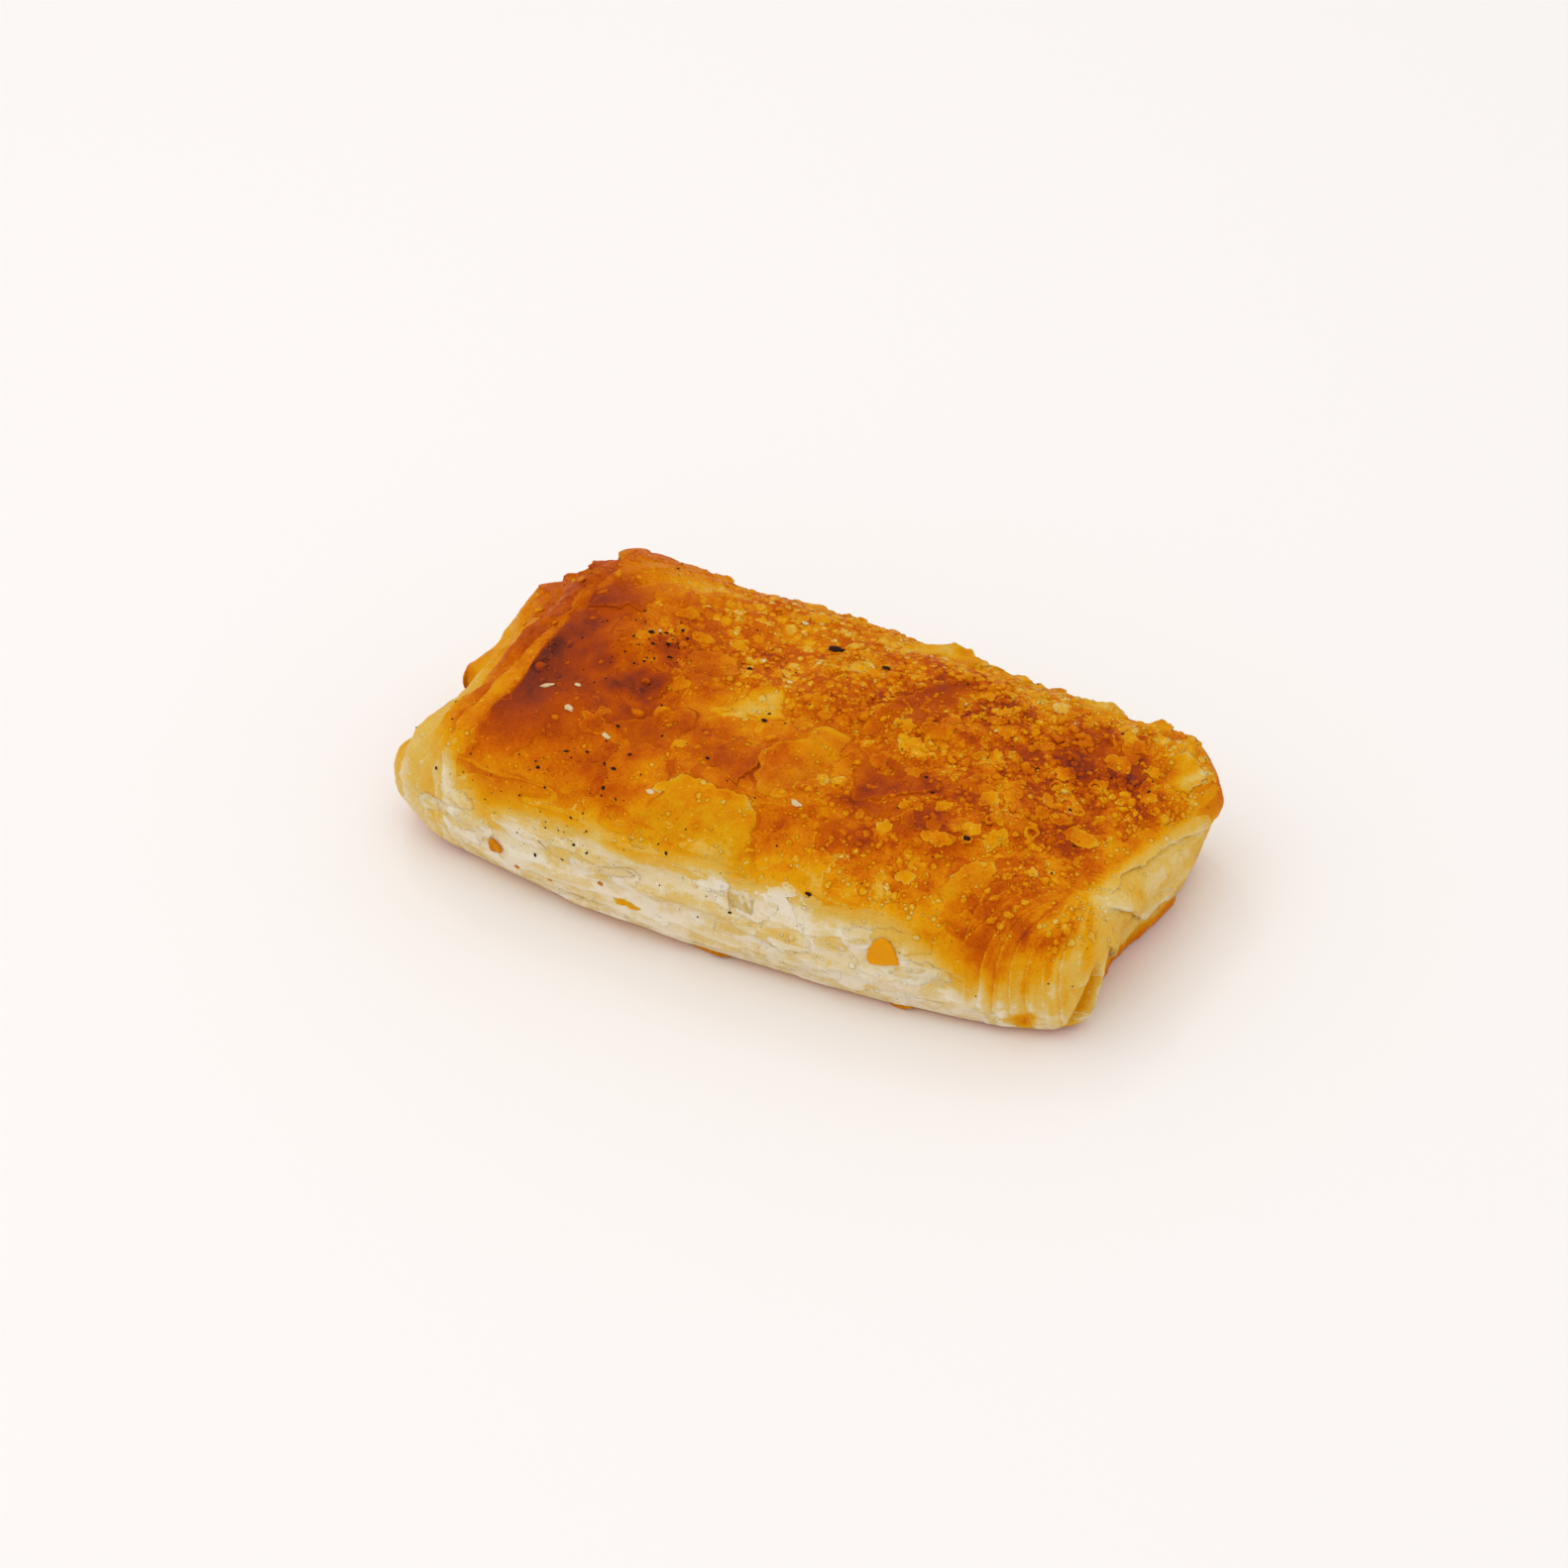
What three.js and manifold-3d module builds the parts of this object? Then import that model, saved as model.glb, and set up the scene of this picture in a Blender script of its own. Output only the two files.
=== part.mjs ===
// A baked potato borek: one parcel of thin dough sheets, folded round its filling and left whole.
// Millimetres, +Z up. +X runs along the parcel, -Y is its pale front side, and it rests on z = 0.
import * as THREE from "three";
import { ImprovedNoise } from "three/addons/math/ImprovedNoise.js";
import { mergeVertices } from "three/addons/utils/BufferGeometryUtils.js";
import Module from "manifold-3d";

const wasm = await Module();
wasm.setup();

// Driving dimensions of the parcel
const LENGTH = 162; // end to end at half height
const WIDTH = 74; // front to back near the ends
const HEIGHT = 36; // of the crown midway along
const SIDE_BOW = 6; // how far each long side swells beyond its ends
const SIDE_TUCK = 1.5; // how far the long sides draw in where they meet the plate
const LEFT_TUCK = 7; // the same at the left end, which overhangs
const RIGHT_TUCK = 3;
const TUCK_HEIGHT = 13; // below this the sides draw in
const SEAT_TRIM = 0.8; // sliced off underneath, so that the parcel rests on a flat face

// Roundness: a higher power gives a squarer corner
const PLAN_POWER = 7;
const SHOULDER_POWER = 3.6;
const FOOT_POWER = 11;

// The crown is highest at the folded left end and falls towards the right one
const RIDGE = { x: -57, y: 10, rise: 7.5, reachX: 24, reachY: 40 };
const RIGHT_FALL = { start: -10, end: 82, drop: 5 };
const LEFT_LEAN = { by: 7, from: 14 }; // how far the top of the left end leans in, and from what height
const RIGHT_LEAN = { by: 4, from: 8 };
const LEAN_START = 0.3; // share of the half length beyond which the ends lean

// Places where the dough is drawn out into soft ears, or sunk: centre, pull and reach
const PULLS = [
  { at: [-74, -30, 12], pull: [-8, 0, 0], reach: 15 },
  { at: [-82, -8, 18], pull: [4, 0, 0], reach: 11 },
  { at: [-76, 18, 28], pull: [-4, 1, 0], reach: 14 },
  { at: [-58, 30, 36], pull: [-1, 1, 1], reach: 14 },
  { at: [70, 32, 24], pull: [3, 2, 3], reach: 14 },
  { at: [72, -30, 8], pull: [2, 0, 0], reach: 12 },
  { at: [82, -10, 5], pull: [-5, 0, 0], reach: 13 },
];

// Where the relief lies: bounds of the normal's upward, sideways and endways parts, and of places
const FACING_UP = [0.2, 0.7];
const FACING_SIDE = [0.5, 0.9];
const FACING_END = [0.6, 0.9];
const LEFT_END = [50, 66]; // to the left of the middle
const FOOT = [0, 4]; // above the seat

// Relief of the crust
const WAVE = { length: 19, height: 1.3 }; // slow swells of the top sheet
const BLISTER = { length: 11, height: 0.8 }; // the largest bubbles
const SHEET = { spacing: 7.5, height: 0.6, waver: 24 }; // edges of the sheets along the sides
const END_PLEAT = { spacing: 9, height: 0.8 }; // folds gathered across the left end
const CORNER_PLEAT = { spacing: 10, height: 0.7, start: 50, end: 65 }; // folds down the front right corner
const CREST = { x: -61, slant: 0.1, height: 1.6, reach: 5 }; // where the top turns down to the left end
const END_HOLLOW = { y: 2, z: 9, depth: 3.5, reachY: 24, reachZ: 8 }; // in the right end, under its lip

// The fold left open at the foot of the front right corner
const POCKET = { at: [79, -22.5, 7.5], radii: [7, 3.6, 8.5], lean: -0.35 };

// Torn sheets that lie on the parcel: face, centre on it from -1 to 1, size along and across it,
// turn in degrees, and how far the free lower edge lifts
const LEAVES = [
  { face: "top", at: [-0.42, 0.3], size: [44, 30], turn: -8, lift: 0.6 },
  { face: "top", at: [-0.06, -0.4], size: [46, 26], turn: -12, lift: 0.7 },
  { face: "top", at: [0.26, 0.42], size: [52, 24], turn: 6, lift: 0.5 },
  { face: "top", at: [0.56, -0.3], size: [36, 28], turn: 24, lift: 0.6 },
  { face: "front", at: [-0.56, -0.1], size: [44, 10], turn: -3, lift: 0.8 },
  { face: "front", at: [-0.14, 0.14], size: [40, 11], turn: 3, lift: 0.8 },
  { face: "front", at: [-0.3, -0.58], size: [56, 7], turn: 0, lift: 0.6 },
  { face: "front", at: [0.34, -0.1], size: [44, 13], turn: -2, lift: 0.8 },
  { face: "back", at: [-0.4, -0.1], size: [50, 12], turn: 3, lift: 0.8 },
  { face: "back", at: [0.34, -0.3], size: [54, 10], turn: -2, lift: 0.7 },
  { face: "right", at: [0.1, 0.5], size: [46, 13], turn: -4, lift: 1.6 },
  { face: "right", at: [0.0, 0.1], size: [28, 18], turn: 10, lift: 2.4 },
  { face: "left", at: [-0.1, 0.2], size: [40, 14], turn: -14, lift: 1.4 },
  { face: "left", at: [0.34, -0.2], size: [30, 10], turn: -10, lift: 1.2 },
];
const LEAF = { thick: 0.9, root: 2, ragged: 0.45, cells: 5 }; // root is how far it reaches inwards

// Grid of the parcel's skin
const CELLS_LONG = 50;
const CELLS_DEEP = 24;
const CELLS_HIGH = 13;

const noise = new ImprovedNoise();

function smoothStep(low, high, value) {
  return THREE.MathUtils.smoothstep(value, low, high);
}

function bell(distance, reach) {
  return Math.exp(-((distance / reach) ** 2));
}

function ripple(distance, spacing) {
  return Math.sin((2 * Math.PI * distance) / spacing);
}

// Noise from -1 to 1 whose lumps are about the given length across.
function lumps(point, length, seed = 0) {
  return noise.noise(point.x / length + seed, point.y / length, point.z / length + 0.5);
}

// Maps a point of the cube from -1 to 1 onto a cushion with square-rounded corners.
function cushion(a, b, c) {
  const ring = Math.max(Math.abs(a), Math.abs(b));
  const power = c > 0 ? SHOULDER_POWER : FOOT_POWER;
  const plan = (Math.abs(a) ** PLAN_POWER + Math.abs(b) ** PLAN_POWER) ** (1 / PLAN_POWER);
  const side = (ring ** power + Math.abs(c) ** power) ** (1 / power);
  const inPlan = ring > 0 ? ring / plan : 1;
  const inSide = Math.max(ring, Math.abs(c)) / side;
  return new THREE.Vector3(a * inPlan * inSide, b * inPlan * inSide, c * inSide);
}

// Height of the crown over a place in plan.
function crownHeight(x, y) {
  const ridge = bell(x - RIDGE.x, RIDGE.reachX) * bell(y - RIDGE.y, RIDGE.reachY);
  const fall = smoothStep(RIGHT_FALL.start, RIGHT_FALL.end, x);
  return HEIGHT + RIDGE.rise * ridge - RIGHT_FALL.drop * fall;
}

// A point of the parcel's smooth form, from a point of the cube.
function parcelPoint(a, b, c) {
  const point = cushion(a, b, c);
  const along = point.x;
  const across = point.y;
  point.x *= LENGTH / 2;
  point.y *= WIDTH / 2 + SIDE_BOW * (1 - along * along);
  point.z = (crownHeight(point.x, point.y) * (point.z + 1)) / 2 - SEAT_TRIM;
  const tuck = Math.max(0, 1 - point.z / TUCK_HEIGHT) ** 2;
  point.x -= tuck * along * (along < 0 ? LEFT_TUCK : RIGHT_TUCK);
  point.y -= tuck * across * SIDE_TUCK;
  point.x += LEFT_LEAN.by * smoothStep(LEAN_START, 1, -along) * smoothStep(LEFT_LEAN.from, HEIGHT, point.z);
  point.x -= RIGHT_LEAN.by * smoothStep(LEAN_START, 1, along) * smoothStep(RIGHT_LEAN.from, HEIGHT, point.z);
  for (const { at, pull, reach } of PULLS) {
    const weight = bell(point.distanceTo(new THREE.Vector3(...at)), reach);
    point.addScaledVector(new THREE.Vector3(...pull), weight);
  }
  return point;
}

// How far the baked surface stands out from the smooth form.
function relief(point, normal) {
  const top = smoothStep(...FACING_UP, normal.z);
  const foot = smoothStep(...FOOT, point.z);
  const longSide = smoothStep(...FACING_SIDE, Math.abs(normal.y));
  const leftEnd = smoothStep(...LEFT_END, -point.x) * (1 - longSide);
  const rightEnd = smoothStep(...FACING_END, normal.x);
  const corner = longSide * smoothStep(CORNER_PLEAT.start, CORNER_PLEAT.end, point.x);
  const waver = SHEET.spacing * lumps(point, SHEET.waver, 3);
  const downEnd = (-point.x - point.z) * Math.SQRT1_2 + point.y / 4;
  const fromCrest = point.x - CREST.x - CREST.slant * point.y;
  const overHollow = bell(point.y - END_HOLLOW.y, END_HOLLOW.reachY);
  const upHollow = bell(point.z - END_HOLLOW.z, END_HOLLOW.reachZ);
  let height = top * WAVE.height * lumps(point, WAVE.length);
  height += top * BLISTER.height * Math.abs(lumps(point, BLISTER.length, 9));
  height += top * CREST.height * bell(fromCrest, CREST.reach);
  height += (longSide - corner) * SHEET.height * ripple(point.z + waver, SHEET.spacing);
  height += corner * CORNER_PLEAT.height * ripple(point.x, CORNER_PLEAT.spacing);
  height += leftEnd * END_PLEAT.height * ripple(downEnd, END_PLEAT.spacing);
  height -= rightEnd * END_HOLLOW.depth * overHollow * upHollow;
  return height * foot;
}

// A box of the given cells, each of its corner points moved by a function.
function movedBox(cells, move) {
  const box = new THREE.BoxGeometry(2, 2, 2, ...cells);
  box.deleteAttribute("normal");
  box.deleteAttribute("uv");
  const merged = mergeVertices(box);
  const position = merged.getAttribute("position");
  const point = new THREE.Vector3();
  for (let i = 0; i < position.count; i++) {
    point.fromBufferAttribute(position, i);
    position.setXYZ(i, ...move(point));
  }
  return merged;
}

// Each face of the cube: its point from two coordinates, and their lengths in millimetres.
const FACES = {
  top: { cube: (p, q) => [p, q, 1], scale: [LENGTH / 2, WIDTH / 2] },
  front: { cube: (p, q) => [p, -1, q], scale: [LENGTH / 2, HEIGHT / 2] },
  back: { cube: (p, q) => [-p, 1, q], scale: [LENGTH / 2, HEIGHT / 2] },
  right: { cube: (p, q) => [1, p, q], scale: [WIDTH / 2, HEIGHT / 2] },
  left: { cube: (p, q) => [-1, -p, q], scale: [WIDTH / 2, HEIGHT / 2] },
};

// A point at some height over a face, reckoned from its baked surface.
function overFace({ cube }, p, q, height) {
  const step = 0.01;
  const point = parcelPoint(...cube(p, q));
  const alongP = parcelPoint(...cube(p + step, q)).sub(point);
  const alongQ = parcelPoint(...cube(p, q + step)).sub(point);
  const normal = alongP.cross(alongQ).normalize();
  return point.clone().addScaledVector(normal, relief(point, normal) + height);
}

// The whole parcel as a dented, pleated cushion.
function parcelSkin() {
  const skin = movedBox([CELLS_LONG, CELLS_DEEP, CELLS_HIGH], ({ x, y, z }) => parcelPoint(x, y, z));
  skin.computeVertexNormals();
  const position = skin.getAttribute("position");
  const normals = skin.getAttribute("normal");
  const point = new THREE.Vector3();
  const normal = new THREE.Vector3();
  for (let i = 0; i < position.count; i++) {
    point.fromBufferAttribute(position, i);
    normal.fromBufferAttribute(normals, i);
    point.addScaledVector(normal, relief(point, normal));
    position.setXYZ(i, ...point);
  }
  return skin;
}

// A torn sheet lying on the parcel, as a thin closed solid rooted in it.
function leaf({ face, at, size, turn, lift }, seed) {
  const on = FACES[face];
  const centre = new THREE.Vector2();
  return movedBox([LEAF.cells, LEAF.cells, 1], ({ x, y, z }) => {
    const ring = Math.max(Math.abs(x), Math.abs(y));
    const way = new THREE.Vector2(x, y).normalize();
    const torn = 1 + LEAF.ragged * noise.noise(2 * way.x, 2 * way.y, seed + 0.5);
    const free = Math.max(0, -way.y) * ring ** 2;
    way.multiplyScalar((ring * torn) / 2);
    way.multiply(new THREE.Vector2(...size));
    way.rotateAround(centre, THREE.MathUtils.degToRad(turn));
    const p = at[0] + way.x / on.scale[0];
    const q = at[1] + way.y / on.scale[1];
    return overFace(on, p, q, z > 0 ? LEAF.thick + lift * free : -LEAF.root);
  });
}

// The open fold at the foot of the front right corner, as the space to take out.
function pocketSpace() {
  const cells = 5;
  const turn = new THREE.Euler(POCKET.lean, 0, 0);
  return movedBox([cells, cells, cells], (point) =>
    point
      .normalize()
      .multiply(new THREE.Vector3(...POCKET.radii))
      .applyEuler(turn)
      .add(new THREE.Vector3(...POCKET.at)),
  );
}

// What lies under the plane that the parcel rests on.
function belowSeat() {
  const depth = 20;
  const size = new THREE.Vector3(LENGTH, LENGTH, depth / 2);
  return movedBox([1, 1, 1], (point) => point.multiply(size).setZ(point.z - depth / 2));
}

function solidOf(geometry) {
  return new wasm.Manifold(
    new wasm.Mesh({
      numProp: 3,
      vertProperties: new Float32Array(geometry.getAttribute("position").array),
      triVerts: new Uint32Array(geometry.index.array),
    }),
  );
}

// The outer skin of a solid, without any bubble closed in under a leaf, centred in plan.
function geometryOf(solid) {
  const [skin] = solid.decompose().sort((a, b) => b.volume() - a.volume());
  const { vertProperties, triVerts } = skin.getMesh();
  const geometry = new THREE.BufferGeometry();
  geometry.setAttribute("position", new THREE.BufferAttribute(vertProperties, 3));
  geometry.setIndex(new THREE.BufferAttribute(triVerts, 1));
  geometry.computeVertexNormals();
  geometry.computeBoundingBox();
  const middle = geometry.boundingBox.getCenter(new THREE.Vector3());
  return geometry.translate(-middle.x, -middle.y, 0);
}

function pastryGeometry() {
  let solid = solidOf(parcelSkin());
  LEAVES.forEach((sheet, i) => (solid = solid.add(solidOf(leaf(sheet, i)))));
  solid = solid.subtract(solidOf(pocketSpace()));
  return geometryOf(solid.subtract(solidOf(belowSeat())));
}

const borek = new THREE.Group();
const crust = new THREE.MeshStandardMaterial({ color: 0xc9761b, roughness: 0.55, metalness: 0 });
const pastry = new THREE.Mesh(pastryGeometry(), crust);
pastry.name = "pastry";
borek.add(pastry);

export default borek;
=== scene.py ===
"""A baked potato borek: crust, torn dough sheets, flakes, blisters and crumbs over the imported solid."""

import math
from collections import namedtuple
from functools import cache, partial

import bmesh
import bpy
import numpy as np
from bpy.props import FloatProperty, FloatVectorProperty, IntProperty, PointerProperty
from mathutils import Matrix, Vector, noise
from mathutils.bvhtree import BVHTree


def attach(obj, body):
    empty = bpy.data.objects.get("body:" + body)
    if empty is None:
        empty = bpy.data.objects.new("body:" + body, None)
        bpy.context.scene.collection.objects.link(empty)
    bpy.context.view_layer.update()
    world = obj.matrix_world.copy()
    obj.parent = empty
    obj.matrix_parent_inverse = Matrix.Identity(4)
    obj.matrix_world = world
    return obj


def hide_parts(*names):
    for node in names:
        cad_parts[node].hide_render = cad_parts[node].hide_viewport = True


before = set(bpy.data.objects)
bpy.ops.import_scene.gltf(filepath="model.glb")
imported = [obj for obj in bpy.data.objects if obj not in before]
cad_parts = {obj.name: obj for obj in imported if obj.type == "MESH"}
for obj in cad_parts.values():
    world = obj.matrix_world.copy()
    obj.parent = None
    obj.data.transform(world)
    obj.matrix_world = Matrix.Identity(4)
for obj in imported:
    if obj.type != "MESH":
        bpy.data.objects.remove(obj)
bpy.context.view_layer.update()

bl_info = {
    "name": "Potato Borek",
    "version": (1, 0, 0),
    "blender": (4, 5, 0),
    "location": "View3D > Sidebar > Borek",
    "description": "Dresses the borek's solid with its crust, torn sheets, flakes, blisters and crumbs",
    "category": "Mesh",
}

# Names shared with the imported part
NODE = "pastry"
BODY = "root"
CRUST = "crust"
DOUGH = "baked wheat dough"

# Mesh work is in millimetres, and a finished mesh is in metres
MM = 0.001

# Thickness of one baked dough sheet
SHEET = 0.25

# Sheet number whose random tint is next to none
PLAIN_LAYER = 9.5

# How bubbly the skin of a loose piece is
LOOSE_PEBBLED = 0.16

# How far one seed's noise lies from the next, over the size of its lumps
NOISE_SHIFT = 31.7

# Seeds of the random draws, and the first seeds of the torn edges
FLAKES_SEED = 23
BLISTERS_SEED = 37
CRUMBS_SEED = 53
CHIP_EDGE = 7
SCRAP_EDGES = 50
SIDE_EDGES = 200
FLAT_EDGES = 400

# What the materials read from each corner point of a mesh
VALUES = ("browning", "layer", "opening", "pebbled", "cobbled")

# Patches of the top that baked darker (positive) or stayed paler: centre, reach, turn and amount
Patch = namedtuple("Patch", "x y reach_x reach_y turn amount")
PATCHES = (
    Patch(-51, 12, 6, 10, 0, 0.12),  # the ridge further back
    Patch(-40, 3, 9, 8, 0, 0.12),
    Patch(-36, -36, 16, 5, 0, 0.12),
    Patch(40, 3, 7, 8, 0, 0.04),
    Patch(38, 11, 9, 6, 0, 0.09),
    Patch(-33, 3, 5, 4, 0, 0.10),  # charred smudge
    Patch(-26, -14, 15, 15, 0, 0.13),
    Patch(-14, -17, 9, 3.2, -8, 0.06),
    Patch(22, -20, 7, 2.6, 0, 0.10),
    Patch(26, 20, 9, 4, 50, 0.08),
    Patch(-36, -8, 11, 9, 0, 0.07),
    Patch(-10, -6, 11, 6, 20, -0.11),
    Patch(-22, 26, 24, 7, 0, -0.13),
    Patch(30, 34, 26, 6, 0, -0.10),
    Patch(10, -32, 12, 5, 0, 0.08),
    Patch(-20, -36, 5, 3, 0, 0.18),
    Patch(20, -36, 5, 3, 0, 0.12),
    Patch(28, -13, 10, 8, 0, 0.08),  # smooth reddish patch
    Patch(2, -9, 4, 6, 0, 0.03),
    Patch(20, -3, 5, 6, 0, 0.08),
    Patch(42, -23, 12, 13, 0, 0.12),
    Patch(3, -16, 3, 9, -6, 0.11),
    Patch(57, 18, 12, 11, 0, 0.30),
    Patch(62, -1, 14, 8, 0, 0.08),
    Patch(69, -17, 6, 13, 0, 0.13),
    Patch(75, 8, 5, 9, 0, 0.18),
    Patch(36, -18, 5, 9, 0, 0.10),
    Patch(69, 21, 6, 10, 0, 0.14),
    Patch(79, 25, 8, 9, 0, -0.17),  # yellow ear at the far right corner
    Patch(-6, -34, 8, 4, 0, -0.08),
    Patch(52, -34, 5, 8, 0, -0.22),
    Patch(-52, -36, 8, 4, 0, -0.2),
    Patch(-60, 9, 6, 6, 0, 0.10),
    Patch(-81, 3, 4, 7, 0, 0.22),  # baked edge of the ledge at the left end
    Patch(-80, -22, 3, 8, -10, 0.14),
)

# Spots off the top that baked more: centre, reach and amount
Spot = namedtuple("Spot", "x y z reach amount")
SPOTS = (
    Spot(80, -9, 19, 3.5, 0.16),  # yellow spot of the flap on the right end
    Spot(69, -36.2, 4.6, 2.3, 0.45),  # toasted spot at the foot of the pleats
    Spot(-83, 3, 17, 5, 0.26),  # ledge of the left end
    Spot(-78, -21, 25, 5, 0.14),  # upper edge of the left tip
    Spot(75, -35, 12, 7, 0.08),
    Spot(-67, 24, 26, 8, 0.25),
)

# The ridge of the left end is baked almost black beside its folded edge
RIDGE_FADE = 15
RIDGE_MIDDLE = -14
RIDGE_REACH = 18
RIDGE_DARK = 0.33

# Baking levels of places that differ from what is round them
BESIDE_RIDGE = 0.56
PAST_LIP = 0.17
UNDERSIDE = 0.5
# under the flap the dough is darker tan, partly its own colour and partly painted shade
UNDER_FLAP_TAN_AND_SHADE = 0.28
INSIDE_FOLD = 0.34

# Bubbles in the crust: spacing of the places for them, and the largest share of places that is taken
BUBBLES = ((4.4, 0.35), (2.4, 0.7))

# Windows torn through to a paler sheet: face, place on it, reach along and across, and turn
Window = namedtuple("Window", "face a b reach_a reach_b turn")
WINDOWS = (
    Window("top", 46, -17, 3, 2.2, 20),
    Window("top", 26, 17, 4, 2, 40),
    Window("top", 33, -25, 3, 2, 0),
    Window("front", 22, 22, 7, 4, 0),
)

# Where the crust turns pale down the front: the line's height, and bumps of it along x
Bump = namedtuple("Bump", "x reach rise")
PALE_LINE = 25
FRONT_BUMPS = (Bump(3, 5, 3), Bump(-52, 9, -5), Bump(64, 15, -15), Bump(33, 8, -2))

# Browning by height over that line
RISE = (-14, -7, -3, 0, 2.5, 5, 8, 12)
BAKED = (0.09, 0.095, 0.14, 0.21, 0.29, 0.40, 0.51, 0.57)

# Folds gathered at the left end: stations along y, and where each fold's edge lies in x there
FOLDS_Y = (-40, -34, -24, -14, -4, 8, 20)
FOLDS = (
    (-61, -58.2, -56.6, -55, -54.3, -55, -54),
    (-65, -62.5, -62, -60, -56.5, -57.5, -58),
    (-69, -66, -65.5, -64, -61, -63, -61),
    (-75, -70, -68, -66, -64, -63, -60),
    (-81, -77, -76, -74, -72, -70, -66),
    (-93, -92, -91, -90, -88, -86, -80),
)

# Hollows between the lobes of the left end, and swells, whose depth is negative: place, reach and depth
Hollow = namedtuple("Hollow", "x y z reach depth")
HOLLOWS = (
    Hollow(-79, -17, 13, 8, 1.8),
    Hollow(-77, 18, 13, 9, 2.4),
    Hollow(-82.5, 3, 17.5, 5.5, -7.5),
    Hollow(-74, 8, 27, 7, 2.0),
    Hollow(-78, -21, 25, 7, 1.7),
    Hollow(84, 26, 21, 8, -1.8),
    Hollow(-20, 36, 34, 9, -1.3),
)

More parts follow.
